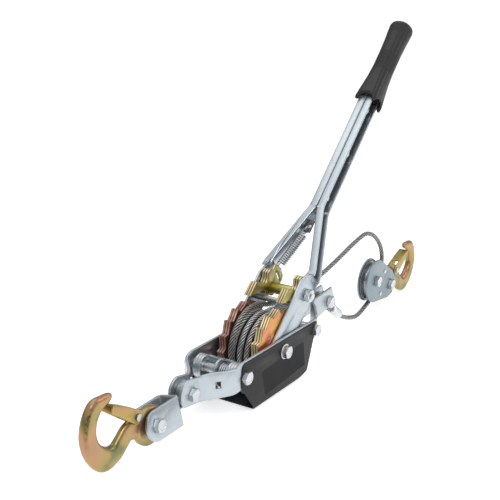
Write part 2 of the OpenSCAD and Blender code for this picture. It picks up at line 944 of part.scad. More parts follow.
// the innermost far lamination, which reaches back as a slotted ring for the spring
module drive_pawl_tab() {
    slope = tab_slot[1] - tab_slot[0];
    slot_a = atan2(slope[1], slope[0]);
    color([0.8, 0.7, 0.4])
        at_pawl()
            difference() {
                plate_y(wheel_in, wheel_in + lamination_t)
                    polygon(concat(pawl_front, [for (i = [0 : 2]) pawl_tail[i]], tab_ring,
                        arc([0, 0], pivot_r, -80, -215, 12)));
                rod_y(bolt_d + 2 * running, wheel_in - 1, wheel_in + lamination_t + 1);
                plate_y(wheel_in - 1, wheel_in + lamination_t + 1)
                    polygon(concat(
                        arc(tab_slot[0], tab_slot_w / 2, slot_a + 90, slot_a + 270, 8),
                        arc(tab_slot[1], tab_slot_w / 2, slot_a - 90, slot_a + 90, 8)));
            }
}

module pawl_sleeve() {
    color([0.85, 0.75, 0.35])
        at_pawl()
            ring_y(sleeve_d, bolt_d + 2 * running, -wheel_in, wheel_in);
}

// Holding pawl

module at_holding_pawl() {
    at_axle()
        at_side(cross_at)
            rotate([0, hold_lift, 0])
                children();
}

module holding_pawl_pack(y0) {
    color([0.75, 0.68, 0.45])
        at_holding_pawl()
            laminations(3, y0)
                difference() {
                    plate_y(0, lamination_t) {
                        polygon(hold_nose);
                        circle(r = ear_r);
                    }
                    rod_y(cross_tube_d + 2 * running, -1, lamination_t + 1);
                }
}

module holding_pawl_near() {
    holding_pawl_pack(-wheel_out);
}

module holding_pawl_far() {
    holding_pawl_pack(wheel_in);
}

// the rolled web that ties the packs, with its own ear beside the torsion spring
module holding_pawl_web() {
    web_t = 2.5;
    color("silver")
        at_holding_pawl() {
            plate_y(-wheel_in, wheel_in)
                polygon(concat(arc([0, 0], ear_r, 5, 70, 8), arc([0, 0], ear_r - web_t, 70, 5, 8)));
            difference() {
                plate_y(-0.5 - web_t, -0.5)
                    circle(r = ear_r - touch);
                rod_y(cross_tube_d + 2 * running, -4, 1);
            }
        }
}

// Clevis and swivel

module swivel_eye() {
    eye_t = nose_gap - 2 * side_gap;
    neck = clevis_base + clevis_t + side_gap;
    color("silver")
        at_swivel()
            difference() {
                union() {
                    rod_y(24, -eye_t / 2, eye_t / 2);
                    translate([-4, 0, -shank_drop])
                        rotate([0, -90, 0])
                            cylinder(d = swivel_d, h = neck - 3);
                    translate([-neck, 0, -shank_drop])
                        rotate([0, -90, 0])
                            cylinder(d = swivel_d + 6.4, h = 3);
                }
                rod_y(bolt_d + 2 * running, -nose_gap, nose_gap);
            }
}

module clevis() {
    bend = 4;
    inner = bend - clevis_t + 0.5;
    x0 = -chain_len - 25;
    color("silver")
        at_chain()
            difference() {
                intersection() {
                    plate_y(-clevis_out, clevis_out)
                        polygon(concat(
                            arc([-chain_len, 0], clevis_h / 2, 90, 270, 20),
                            [[-clevis_base, -clevis_h / 2], [-clevis_base, clevis_h / 2]]));
                    translate([0, 0, -clevis_h])
                        linear_extrude(height = 2 * clevis_h)
                            difference() {
                                polygon(concat(
                                    [[x0, clevis_out], [x0, -clevis_out]],
                                    arc([-clevis_base - bend, bend - clevis_out], bend, 270, 360, 5),
                                    arc([-clevis_base - bend, clevis_out - bend], bend, 0, 90, 5)));
                                polygon(concat(
                                    [[x0 - 1, clevis_gap / 2], [x0 - 1, -clevis_gap / 2]],
                                    arc([-clevis_base - clevis_t - inner, inner - clevis_gap / 2],
                                        inner, 270, 360, 4),
                                    arc([-clevis_base - clevis_t - inner, clevis_gap / 2 - inner],
                                        inner, 0, 90, 4)));
                            }
                }
                bolt_hole([-chain_len, 0], clevis_out + 1);
                translate([-clevis_base + 1, 0, 0])
                    rotate([0, -90, 0])
                        cylinder(d = swivel_d + 2 * running, h = clevis_t + 2);
            }
}

module clevis_bolt() {
    color("gainsboro")
        at_chain()
            at_side([-chain_len, 0])
                bolt(-clevis_out, clevis_out);
}

module clevis_nut() {
    color("gainsboro")
        at_chain()
            at_side([-chain_len, 0])
                nut(clevis_out);
}

module clevis_washers() {
    d = washer_d + 6;
    inner = (hook_eye_t / cos(hook_roll) + d * tan(hook_roll)) / 2 + side_gap;
    color([0.2, 0.2, 0.2])
        at_chain()
            at_side([-chain_len, 0])
                for (y = [-clevis_gap / 2, inner])
                    ring_y(d, bolt_d + 2 * hole_gap, y, y + clevis_gap / 2 - inner);
}

// Hooks: X from the bolt towards the tip, Z towards the mouth

module hook(size) {
    line = smooth(size * hook_line, 2);
    n = len(line);
    sides = 14;
    color([0.8, 0.66, 0.38])
        difference() {
            union() {
                rod_y(2 * size * hook_eye_r, -hook_eye_t / 2, hook_eye_t / 2);
                loft([for (i = [0 : n - 1])
                    let (a = line[max(i - 1, 0)], b = line[min(i + 1, n - 1)], p = line[i])
                    let (t = unit([b[0] - a[0], b[1] - a[1]]))
                    [for (k = [0 : sides - 1])
                        let (c = cos(360 * k / sides), s = sin(360 * k / sides))
                        let (h = p[2] * sign(c) * pow(abs(c), 0.8))
                        [p[0] - t[1] * h, -p[3] * sign(s) * pow(abs(s), 0.8), p[1] + t[0] * h]]]);
                rod_y(14, -hook_eye_t / 2, lug_y, size * latch_at);
            }
            rod_y(hook_bore_d, -hook_eye_t, hook_eye_t);
            rod_y(latch_pin_d + 2 * touch, -hook_eye_t, hook_eye_t, size * latch_at);
            ring_y(15, 2, lug_y, hook_eye_t, size * latch_at);
        }
}

// a channel over the hook's neck, its web on the mouth side
module latch(size) {
    end = size * latch_len;
    color([0.78, 0.64, 0.36])
        at_side(size * latch_at)
            rotate([0, -latch_lean, 0])
                difference() {
                    union() {
                        for (y = [-latch_out, latch_in])
                            plate_y(y, y + latch_t)
                                polygon(concat(
                                    arc([0, 0], 7, 90, 270, 10),
                                    [[14, -5.5], [end - 1, -2.2], [end, 2], [end, 5.5],
                                        [20, 7]]));
                        plate_y(-latch_out, latch_out)
                            polygon([[11, 7], [11, 7 - latch_t], [20, 7 - latch_t],
                                [end, 5.5 - latch_t], [end, 5.5], [20, 7]]);
                    }
                    rod_y(latch_pin_d + 2 * running, -latch_out - 1, latch_out + 1);
                }
}

module latch_pin(size) {
    head_y = latch_out + side_gap;
    color("silver")
        at_side(size * latch_at) {
            rod_y(latch_pin_d, -head_y, head_y);
            for (y = [-head_y - 1.2, head_y])
                rod_y(latch_pin_d * 1.8, y, y + 1.2);
        }
}

module latch_spring(size) {
    r = latch_pin_d / 2 + latch_wire_d / 2 + 0.5;
    curls = 2.5;
    room = hook_eye_t / 2 - lug_y - latch_wire_d - 0.2;
    pitch = room / curls;
    n = 8 * curls;
    turns = [for (i = [0 : n]) let (a = 200 + 45 * i)
        [r * cos(a), lug_y + 0.1 + latch_wire_d / 2 + pitch * i / 8, r * sin(a)]];
    t0 = unit(turns[0] - turns[1]);
    t1 = unit(turns[n] - turns[n - 1]);
    route = concat([turns[0] + latch_wire_d * t0], turns, [turns[n] + latch_wire_d * t1]);
    echo("least gap of a latch spring to itself", least_gap(route, latch_wire_d, 5));
    color("silver")
        at_side(size * latch_at)
            tube(route, latch_wire_d, 6, [0, 1, 0]);
}

module front_hook() {
    at_front_hook()
        hook(1);
}

module front_latch() {
    at_front_hook()
        latch(1);
}

module front_latch_pin() {
    at_front_hook()
        latch_pin(1);
}

module front_latch_spring() {
    at_front_hook()
        latch_spring(1);
}

module rear_hook() {
    at_rear_hook()
        hook(rear_hook_size);
}

module rear_latch() {
    at_rear_hook()
        latch(rear_hook_size);
}

module rear_latch_pin() {
    at_rear_hook()
        latch_pin(rear_hook_size);
}

module rear_latch_spring() {
    at_rear_hook()
        latch_spring(rear_hook_size);
}

// Snatch block, from the sheave bolt, with the hook bolt along X

module cheek_outline() {
    shoulder = [block_len + 0.3, 18.4];
    side_a = atan2(shoulder[1], shoulder[0]) + acos(cheek_r / norm(shoulder));
    end = [block_len + 13, 10.5];
    polygon(concat(
        arc([0, 0], cheek_r, side_a, 360 - side_a, 36),
        [[shoulder[0], -shoulder[1]], [end[0], -end[1]], end, shoulder]));
}

module block_cheek(y0) {
    color("silver")
        at_block()
            difference() {
                plate_y(y0, y0 + cheek_t)
                    cheek_outline();
                for (p = [[0, 0], [block_len, 0]])
                    bolt_hole(p, cheek_out + 1);
                for (s = [-1, 1])
                    rod_y(4 + 2 * touch, y0 - 1, y0 + cheek_t + 1, [21.5, 15.2 * s]);
            }
}

module block_cheek_near() {
    block_cheek(-cheek_out);
}

module block_cheek_far() {
    block_cheek(cheek_in);
}

module block_rivets() {
    color("gainsboro")
        at_block()
            for (s = [-1, 1])
                at_side([21.5, 15.2 * s]) {
                    rod_y(4, -cheek_out, -cheek_in);
                    rod_y(6.4, -cheek_out - 1, -cheek_out);
                    rod_y(4, cheek_in, cheek_out);
                    rod_y(6.4, cheek_out, cheek_out + 1);
                }
}

module sheave_bolt() {
    color("gainsboro")
        at_block()
            bolt(-cheek_out, cheek_out);
}

module block_hook_bolt() {
    color("gainsboro")
        at_block()
            at_side([block_len, 0])
                bolt(-cheek_out, cheek_out);
}

module block_nuts() {
    color("gainsboro")
        at_block()
            for (x = [0, block_len])
                at_side([x, 0])
                    nut(cheek_out);
}

module sheave_bush() {
    color("goldenrod")
        at_block()
            ring_y(sheave_bush_d, bolt_d + 2 * hole_gap, -cheek_in, cheek_in);
}

module sheave() {
    groove_r = 22 - cable_d / 2 - lead_gap;
    half = cable_d / 2 + side_gap;
    rim = sheave_w / 2;
    color("gray")
        at_block()
            rotate([90, 0, 0])
                rotate_extrude($fn = 96)
                    polygon(concat(
                        [[sheave_bush_d / 2 + running, -rim], [sheave_r, -rim],
                            [sheave_r, -half - 0.5]],
                        [for (a = [-90 : 22.5 : 90])
                            [groove_r + half * (1 - cos(a)), half * sin(a)]],
                        [[sheave_r, half + 0.5], [sheave_r, rim],
                            [sheave_bush_d / 2 + running, rim]]));
}

frame_plate_near();
frame_plate_far();
frame_cover();
nose_bolt();
cross_bolt();
rear_bolt();
axle_bolt();
anchor_bolt();
frame_nuts();
axle_washers();
cross_tube();
rear_spacer();
axle_bush();
holding_spring();
drum_core();
ratchet_near();
ratchet_far();
drum_rivets();
cable_winding();
free_cable();
cable_ferrule();
cable_eye();
handle_arm_near();
handle_arm_far();
handle_rivets();
grip();
spacer_rod();
pawl_pivot_bolt();
pawl_pivot_nut();
tension_spring();
drive_pawl_near();
drive_pawl_far();
drive_pawl_tab();
pawl_sleeve();
holding_pawl_near();
holding_pawl_far();
holding_pawl_web();
swivel_eye();
clevis();
clevis_bolt();
clevis_nut();
clevis_washers();
front_hook();
front_latch();
front_latch_pin();
front_latch_spring();
block_cheek_near();
block_cheek_far();
block_rivets();
sheave_bolt();
block_hook_bolt();
block_nuts();
sheave_bush();
sheave();
rear_hook();
rear_latch();
rear_latch_pin();
rear_latch_spring();
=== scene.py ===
"""Come along winch: the visible pieces, built round the frame. Shapes are in millimetres."""

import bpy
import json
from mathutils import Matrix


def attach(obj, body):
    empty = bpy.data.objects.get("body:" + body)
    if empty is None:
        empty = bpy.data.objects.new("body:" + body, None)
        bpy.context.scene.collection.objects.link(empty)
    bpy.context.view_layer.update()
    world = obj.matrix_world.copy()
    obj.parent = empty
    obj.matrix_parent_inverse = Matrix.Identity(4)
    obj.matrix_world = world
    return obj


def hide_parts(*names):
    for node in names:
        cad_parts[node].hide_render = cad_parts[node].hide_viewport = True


bl_info = {
    "name": "Come along winch",
    "version": (1, 0, 0),
    "blender": (4, 5, 0),
    "location": "View3D > Sidebar > Winch",
    "description": "Builds the visible pieces of a come along winch round its fixed frame",
    "category": "Object",
}

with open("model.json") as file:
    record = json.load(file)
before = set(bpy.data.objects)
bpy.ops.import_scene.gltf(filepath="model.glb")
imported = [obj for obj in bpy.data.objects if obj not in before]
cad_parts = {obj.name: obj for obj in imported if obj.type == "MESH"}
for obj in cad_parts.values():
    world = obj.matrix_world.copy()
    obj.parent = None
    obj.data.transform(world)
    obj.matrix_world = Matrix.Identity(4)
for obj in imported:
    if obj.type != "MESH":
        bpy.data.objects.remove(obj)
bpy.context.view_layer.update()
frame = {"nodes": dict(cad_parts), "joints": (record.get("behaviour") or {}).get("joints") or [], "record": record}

import json
from math import acos, atan2, cos, degrees, hypot, pi, radians, sin, tan

import bmesh
import bpy
import numpy as np
from mathutils import Matrix, Vector

MM = 0.001
JOINTS = {j["name"]: j for j in frame["joints"]}
BODY_OF = {n: b for b, names in frame["record"]["behaviour"]["bodies"].items() for n in names}


def turned(axis, angle):
    return Matrix.Rotation(radians(angle), 4, axis)


def shifted(x, y, z):
    return Matrix.Translation(Vector((x, y, z)))


def at_joint(name):
    return Matrix.Translation(Vector(JOINTS[name]["pos_m"]) / MM)


# places of the groups of pieces, in millimetres
HANDLE_RISE = 44.3
CLEVIS_REACH, BLOCK_REACH = 62.5, 47.7
REAR_SHARE = 0.93  # size of the rear hook over the front one's
AXLE = at_joint("handle_swing")
HANDLE = AXLE @ turned("Y", -HANDLE_RISE)
PAWL = at_joint("drive_pawl_pivot") @ turned("Y", -HANDLE_RISE)
CROSS = at_joint("holding_pawl_pivot")
SWIVEL = at_joint("nose_swing") @ turned("Y", -1.5)
CHAIN = SWIVEL @ shifted(0, 0, -8.8) @ turned("X", -14)
CLEVIS_BOLT = CHAIN @ shifted(-CLEVIS_REACH, 0, 0)
FRONT_HOOK = CLEVIS_BOLT @ turned("Z", 180) @ turned("Y", -5) @ turned("X", -12)
BLOCK_BOLT = at_joint("rear_hook_pivot")
REAR_HOOK = BLOCK_BOLT @ turned("Y", 2.5)
BLOCK = BLOCK_BOLT @ turned("Y", 20) @ shifted(-BLOCK_REACH, 0, 0)

# distances of faces from the middle plane
WHEEL_IN, ARM_OUT = 15.8, 28.2
FRAME_OUT, COVER_OUT = 32.0, 33.4
NOSE_OUT, TAIL_OUT, CHEEK_OUT, CLEVIS_OUT = 8.4, 8.0, 7.2, 12.5
WHEEL_PITCH = 3.05
ROPE_D = 6.0
SHARP = 38  # degrees past which an edge is kept sharp or softened
# corners of the bare patch on the cover's near face, as (x, z)
LABEL = ((-45.5, 39.4), (42.5, 44.6), (47.5, 15.3), (-37.3, 10.0))


# ---- node trees

def put(tree, socket, value):
    if isinstance(value, Value):
        tree.links.new(value.socket, socket)
    elif isinstance(value, bpy.types.NodeSocket):
        tree.links.new(value, socket)
    else:
        socket.default_value = value


def maths(operation, swapped=False):
    """A method that adds one Math node to the tree of its value."""
    def method(self, *others):
        node = self.tree.nodes.new("ShaderNodeMath")
        node.operation = operation
        values = (*others, self) if swapped else (self, *others)
        for socket, value in zip(node.inputs, values):
            put(self.tree, socket, value)
        return Value(self.tree, node.outputs[0])
    return method


class Value:
    """A socket whose arithmetic adds Math nodes to its tree."""

    def __init__(self, tree, socket):
        self.tree = tree
        self.socket = socket

    __add__, __radd__ = maths("ADD"), maths("ADD", True)
    __sub__, __rsub__ = maths("SUBTRACT"), maths("SUBTRACT", True)
    __mul__, __rmul__ = maths("MULTIPLY"), maths("MULTIPLY", True)
    __truediv__, __rtruediv__ = maths("DIVIDE"), maths("DIVIDE", True)
    sine, cosine, angle = maths("SINE"), maths("COSINE"), maths("ARCTAN2")
    size, fraction, power = maths("ABSOLUTE"), maths("FRACT"), maths("POWER")

    def clamp(self):
        node = self + 0.0
        node.socket.node.use_clamp = True
        return node


class Tree:
    """A node tree that is filled by one method."""

    def __init__(self, tree):
        self.tree = tree

    def add(self, kind, settings=None, inputs=None, out=0):
        node = self.tree.nodes.new(kind)
        for key, value in (settings or {}).items():
            if key == "stops":
                elements = node.color_ramp.elements
                while len(elements) > 1:
                    elements.remove(elements[0])
                elements[0].position, elements[0].color = value[0][0], (*value[0][1], 1)
                for place, colour in value[1:]:
                    elements.new(place).color = (*colour, 1)
            else:
                setattr(node, key, value)
        for key, value in (inputs or {}).items():
            put(self.tree, node.inputs[key], value)
        if out is None:
            return node
        return Value(self.tree, node.outputs[out])

    def vector(self, operation, inputs, out=0):
        return self.add("ShaderNodeVectorMath", {"operation": operation}, inputs, out)

    def component(self, vector, k):
        return self.add("ShaderNodeSeparateXYZ", inputs={0: vector}, out=k)


# ---- finishes

class Finish(Tree):
    """A material in the making, with the pattern nodes that the finishes share."""

    def __init__(self, name):
        self.material = bpy.data.materials.new(name)
        self.material.use_nodes = True
        super().__init__(self.material.node_tree)
        self.shader = self.tree.nodes["Principled BSDF"]
        self.place = self.coordinate("Object")

    def coordinate(self, kind):
        return self.add("ShaderNodeTexCoord", out=kind)

    def facing(self, k):
        """How far the surface faces along the axis of number k."""
        return self.component(self.coordinate("Normal"), k)

    def own(self, name, out="Fac"):
        """An attribute of the piece itself."""
        return self.add("ShaderNodeAttribute", {"attribute_name": name}, out=out)

    def scaled(self, *factors):
        return self.vector("MULTIPLY", {0: self.place, 1: factors})

    def noise(self, scale, detail=2.0, rough=0.5, where=None):
        return self.add("ShaderNodeTexNoise", inputs={
            "Vector": where or self.place, "Scale": scale, "Detail": detail, "Roughness": rough})

    def ramp(self, value, *stops):
        return self.add("ShaderNodeValToRGB", {"stops": stops}, {0: value})

    def mix(self, share, a, b):
        a, b = [(*c, 1) if isinstance(c, tuple) else c for c in (a, b)]
        return self.add("ShaderNodeMix", {"data_type": "RGBA"}, {0: share, 6: a, 7: b}, out=2)

    def bump(self, height, strength, distance):
        normal = self.add("ShaderNodeBump", inputs={
            "Strength": strength, "Distance": distance, "Height": height})
        put(self.tree, self.shader.inputs["Normal"], normal)

    def done(self, **values):
        names = {"color": "Base Color", "rough": "Roughness", "metal": "Metallic",
                 "spec": "Specular IOR Level"}
        for key, value in values.items():
            put(self.tree, self.shader.inputs[names[key]], value)
        return self.material


def toned(colour, share):
    return tuple(c * share for c in colour)


def zinc_finish(name, light, dark, rough, scratch, painted_web_shade=False):
    """Plated or bare steel: two greys in clouds, with drawn streaks; on the arms, painted shade in the channel
    webs.
    """
    f = Finish(name)
    cloud = f.noise(38.0, 3.0, 0.6)
    fine = f.noise(420.0, 3.0, 0.6)
    streak = f.noise(60.0, 2.0, 0.5, f.scaled(0.6, 9.0, 14.0))
    share = (cloud * 0.55 + streak * 0.45).power(1.4)
    f.bump(fine * 0.6 + streak * 0.4, scratch, 0.0004)
    colour = f.mix(share.clamp(), light, dark)
    # painted shade and painted dark reflection: where the web mask is 1, the colour is darkened toward black
    if painted_web_shade:
        colour = f.mix(f.own("web").power(2.0) * 0.86, colour, toned(light, 0.12))
    return f.done(color=colour, metal=0.92,
                  rough=(rough + cloud * 0.16 + fine * 0.08).clamp())


def yellow_finish(name, face, edge, rough, grit, scale=34.0, layers=True):
    """Yellow chromate on sheet packs: one tone on the flanks, another on the cut edges."""
    f = Finish(name)
    cloud = f.noise(scale, 2.0, 0.5)
    small = f.noise(scale * 6, 3.0, 0.6)
    fine = f.noise(520.0, 3.0, 0.65)
    # the facing(2) term is painted light: faces that look up shift along the tone ramp, as if lit from above
    tone = (cloud * 1.1 + small * 0.25 + f.facing(2) * 0.1 - 0.14).clamp()
    rim = f.mix((small * 1.6 - 0.3).clamp(), edge[0], edge[1])
    if layers:
        # a dark seam where two sheets of the pack meet
        step = ((f.component(f.place, 1).size() - WHEEL_IN * MM) / (WHEEL_PITCH * MM)).fraction()
        rim = f.mix((((step - 0.5).size() - 0.27) * 10.0).clamp(), rim, edge[2])
    colour = f.mix(((f.facing(1).size() - 0.86) * 9.0).clamp(), rim, f.ramp(tone, *face))
    colour = f.mix(((fine - 0.6) * 2.0).clamp(), colour, (0.1, 0.055, 0.02))
    f.bump(fine * 0.7 + small * 0.3, grit, 0.0005)
    return f.done(color=colour, metal=0.8, rough=(rough + small * 0.2 + fine * 0.1).clamp())


def hook_finish(name):
    """Yellow chromate on a forging, darker along the outside of its bowl."""
    f = Finish(name)
    cloud = f.noise(26.0, 2.0, 0.5)
    small = f.noise(150.0, 3.0, 0.6)
    grain = f.noise(620.0, 4.0, 0.7)
    scale = f.noise(330.0, 3.0, 0.7)
    # the facing(2) term is painted light: faces that look up shift along the tone ramp, as if lit from above
    tone = (cloud * 1.15 + small * 0.14 + f.facing(2) * 0.1 - 0.16).clamp()
    # a near-black band, broken up by noise, along the outside of the bowl
    outer_dark_band = (f.own("outer") * (0.75 + (scale - 0.5) * 3.5)).clamp() * 0.85
    f.bump(grain * 0.5 + small * 0.5, 0.3, 0.0006)
    return f.done(color=f.mix(outer_dark_band, f.ramp(tone, *FORGED), (0.035, 0.024, 0.016)), metal=0.82,
                  rough=(0.24 + small * 0.18 + outer_dark_band * 0.3).clamp())


def enamel_finish(name, colour, rough):
    """Satin paint with a little orange peel."""
    f = Finish(name)
    cloud = f.noise(26.0, 2.0, 0.5)
    f.bump(f.noise(520.0, 2.0, 0.5), 0.12, 0.0004)
    return f.done(color=f.mix(cloud, colour, toned(colour, 0.72)), metal=0.0,
                  rough=(rough + cloud * 0.14).clamp(), spec=0.36)


def rope_finish(name, light, dark, wires=9.0, wire_lay=0.011, valley=2.58, crown_rise=0.32):
    """Strands that are bright outside, with painted shade in the valleys between them."""
    f = Finish(name)
    around = f.own("around", "Vector")
    off = f.vector("DISTANCE", {0: f.place, 1: f.own("middle", "Vector")}, "Value")
    turn = f.component(around, 1).angle(f.component(around, 0))
    wire = (turn * wires + f.own("along") * (2 * pi / wire_lay)).sine() * 0.5 + 0.5
    # painted shade: the colour falls to the dark tone in the valleys between strands
    unshaded_crown = ((off - valley * MM) / (crown_rise * MM)).clamp()
    tone = (unshaded_crown * (0.78 + wire * 0.16 + f.noise(190.0, 3.0, 0.6) * 0.14)).clamp()
    f.bump(wire, 0.6, 0.0003)
    return f.done(color=f.mix(tone, dark, light), metal=0.8,
                  rough=(0.62 - unshaded_crown * 0.32).clamp())


def rubber_finish(name, light):
    """Moulded rubber, with a fine mesh of dots where the piece's weave is 1."""
    f = Finish(name)
    cloud = f.noise(60.0, 3.0, 0.6)
    grain = f.noise(900.0, 3.0, 0.7)
    weave, turn = f.own("weave"), f.own("turn", "Vector")
    u = f.component(turn, 1).angle(f.component(turn, 0)) * 26.0
    v = f.component(turn, 2) * 1.9
    dots = ((u + v).sine() * (u - v).sine()) * 0.5 + 0.5
    f.bump(grain * 0.25 + dots * weave, 0.6, 0.0005)
    return f.done(color=f.mix(cloud, toned(light, 0.4), light), metal=0.0,
                  rough=(0.36 + cloud * 0.12 + weave * 0.12).clamp(), spec=0.42)


# tones of cut edges (clean, stained, seam), then of faces as the stops of a ramp
CREAM = ((0.70, 0.62, 0.36), (0.56, 0.56, 0.28), (0.26, 0.035, 0.02))
# the far wheel's edge tones: pink, darkened as painted shade
SHADED_PINK = ((0.66, 0.46, 0.40), (0.22, 0.08, 0.04), (0.14, 0.025, 0.015))
GOLD = ((0.3, (0.14, 0.15, 0.03)), (0.45, (0.30, 0.27, 0.06)), (0.6, (0.42, 0.34, 0.12)),
        (0.75, (0.26, 0.30, 0.14)))
WHEEL = ((0.3, (0.40, 0.30, 0.07)), (0.42, (0.62, 0.34, 0.08)), (0.54, (0.66, 0.26, 0.10)),
         (0.68, (0.60, 0.20, 0.17)))
# the far wheel's face tones: brown, darkened as painted shade
SHADED_BROWN = ((0.3, (0.10, 0.055, 0.02)), (0.5, (0.24, 0.10, 0.035)), (0.7, (0.32, 0.09, 0.05)))
SLEEVE = ((0.3, (0.26, 0.24, 0.05)), (0.5, (0.46, 0.42, 0.10)), (0.7, (0.56, 0.50, 0.16)))
LATCH = ((0.3, (0.24, 0.20, 0.05)), (0.45, (0.42, 0.31, 0.09)), (0.6, (0.48, 0.28, 0.13)),
         (0.75, (0.30, 0.32, 0.10)))
FORGED = ((0.3, (0.16, 0.17, 0.08)), (0.42, (0.34, 0.27, 0.10)), (0.52, (0.42, 0.28, 0.12)),
          (0.62, (0.46, 0.23, 0.14)), (0.74, (0.32, 0.27, 0.12)))
STEEL = (0.3, 0.32, 0.34)

FINISHES = {}


def finish(name):
    """The material of a finish, made when it is first asked for."""
    settings = bpy.context.scene.winch
    zinc, cover, grip = (tuple(c) for c in (settings.zinc, settings.cover, settings.grip))
    makers = {
        "sheet": (zinc_finish, "zinc sheet", zinc, toned(zinc, 0.78), 0.24, 0.2),
        # the arms: zinc with painted shade in their channel webs
        "arm": (zinc_finish, "zinc arm", zinc, toned(zinc, 0.78), 0.22, 0.2, True),
        "bright": (zinc_finish, "bright zinc", (0.66, 0.67, 0.69), (0.40, 0.42, 0.45), 0.14, 0.2),
        "turned": (zinc_finish, "turned steel", (0.6, 0.62, 0.64), STEEL, 0.18, 0.3),
        "spring": (zinc_finish, "spring wire", (0.62, 0.64, 0.66), STEEL, 0.24, 0.3),
        # the snatch block's cheeks: a darker copy of the zinc, painted shade
        "cheek": (zinc_finish, "dull zinc", (0.30, 0.36, 0.39), (0.22, 0.27, 0.30), 0.3, 0.3),
        "dark": (zinc_finish, "dark steel", (0.46, 0.48, 0.50), (0.16, 0.17, 0.18), 0.16, 0.3),
        "core": (zinc_finish, "rope in shadow", (0.1, 0.1, 0.1), (0.02, 0.02, 0.02), 0.6, 0.5),
        "ferrule": (zinc_finish, "pressed aluminium", (0.8, 0.81, 0.82), (0.55, 0.56, 0.58),
                    0.3, 0.5),
        "wheel": (yellow_finish, "yellow zinc wheel", WHEEL, CREAM, 0.2, 0.2),
        # the far wheel: a darker copy of the wheel finish, painted shade
        "brown": (yellow_finish, "brown zinc wheel", SHADED_BROWN, SHADED_PINK, 0.22, 0.25),
        "pawl": (yellow_finish, "yellow zinc pawl", GOLD, CREAM, 0.2, 0.2, 46.0),
        "sleeve": (yellow_finish, "olive zinc sleeve", SLEEVE, (SLEEVE[1][1], SLEEVE[2][1]),
                   0.2, 0.2, 60.0, False),
        "latch": (yellow_finish, "yellow zinc latch", LATCH, (LATCH[0][1], LATCH[1][1]),
                  0.24, 0.2, 60.0, False),
        "hook": (hook_finish, "forged hook"),
        "cover": (enamel_finish, "black cover", cover, 0.5),
        "label": (enamel_finish, "bare label", (0.002, 0.002, 0.0022), 0.62),
        "washer": (enamel_finish, "black washer", (0.012, 0.012, 0.013), 0.5),
        # the second colour of rope and cable is the painted shade in their valleys
        "rope": (rope_finish, "wire rope", (0.86, 0.86, 0.85), (0.008, 0.008, 0.009)),
        # the free cable and its eye: a darker copy of the rope's colours
        "cable": (rope_finish, "weathered wire rope", (0.50, 0.49, 0.47), (0.006, 0.006, 0.006)),
        "grip": (rubber_finish, "moulded rubber", grip)}
    if name not in FINISHES:
        maker, *values = makers[name]
        FINISHES[name] = maker(*values)
    return FINISHES[name]


# ---- shapes

def placed(matrix, points):
    """Points in millimetres of a group, as an array in metres of the shared frame."""
    p = np.asarray(points, float)
    m = np.array(matrix)
    return (p @ m[:3, :3].T + m[:3, 3]) * MM


def unit(v):
    v = np.asarray(v, float)
    return v / np.linalg.norm(v)


def polar(r, angle):
    return r * cos(radians(angle)), r * sin(radians(angle))


def around(sides):
    """The angles of a ring's points, in radians."""
    return [2 * pi * k / sides for k in range(sides)]


def coils(r, start, step, heights):
    """A coil about Y: its points' heights along Y, a step of angle apart."""
    turn = [polar(r, start + step * i) for i in range(len(heights))]
    return np.array([(x, y, z) for (x, z), y in zip(turn, heights)])


def smooth(points, n):
    """A smooth curve through points, n steps between each two."""
    p = np.asarray(points, float)
    last = len(p) - 1
    made = []
    for i in range(last):
        a, b, c, d = p[max(i - 1, 0)], p[i], p[i + 1], p[min(i + 2, last)]
        for k in range(n):
            u = k / n
            made.append(b + (c - a) * u / 2 + (2 * a - 5 * b + 4 * c - d) * u * u / 2
                        + (3 * b - 3 * c + d - a) * u ** 3 / 2)
    made.append(p[last])
    return np.array(made)


def swept(points, d, sides=10, side=(0, 1, 0)):
    """Points and faces of a round wire along a path."""
    p = np.asarray(points, float)
    n = len(p)
    normal = np.asarray(side, float)
    verts = []
    for i in range(n):
        t = unit(p[min(i + 1, n - 1)] - p[max(i - 1, 0)])
        normal = unit(normal - (normal @ t) * t)
        other = np.cross(t, normal)
        verts += [p[i] + d / 2 * (cos(a) * normal + sin(a) * other) for a in around(sides)]
    return np.array(verts), ring_faces(n, sides)


def ring_faces(rings, sides):
    """The faces of a tube of rings, with its two ends."""
    faces = [(i * sides + k, i * sides + (k + 1) % sides,
              (i + 1) * sides + (k + 1) % sides, (i + 1) * sides + k)
             for i in range(rings - 1) for k in range(sides)]
    return faces + [tuple(range(sides))[::-1], tuple(range((rings - 1) * sides, rings * sides))]


def revolved(profile, sides):
    """A closed profile of (radius, height) pairs, turned about Z."""
    verts = [(r * cos(a), r * sin(a), z) for a in around(sides) for r, z in profile]
    n = len(profile)
    faces = [(k * n + i, ((k + 1) % sides) * n + i, ((k + 1) % sides) * n + (i + 1) % n,
              k * n + (i + 1) % n) for k in range(sides) for i in range(n)]
    return np.array(verts), faces


def turned_pin(profile, sides=32):
    """An open profile of (radius, height) pairs that starts and ends on the axis."""
    rings = profile[1:-1]
    n = len(rings)
    verts = [(0, 0, profile[0][1]), (0, 0, profile[-1][1])]
    verts += [(r * cos(a), r * sin(a), z) for a in around(sides) for r, z in rings]
    faces = []
    for k in range(sides):
        a, b = 2 + k * n, 2 + ((k + 1) % sides) * n
        faces += [(a + i, b + i, b + i + 1, a + i + 1) for i in range(n - 1)]
        faces += [(0, b, a), (1, a + n - 1, b + n - 1)]
    return np.array(verts), faces


def joined(*parts):
    verts, faces = [], []
    for v, f in parts:
        faces += [tuple(i + len(verts) for i in face) for face in f]
        verts += [tuple(p) for p in v]
    return np.array(verts), faces


def moved(part, matrix):
    v, f = part
    m = np.array(matrix)
    return v @ m[:3, :3].T + m[:3, 3], f


def linked(name, data):
    obj = bpy.data.objects.new(name, data)
    bpy.context.scene.collection.objects.link(obj)
    return obj


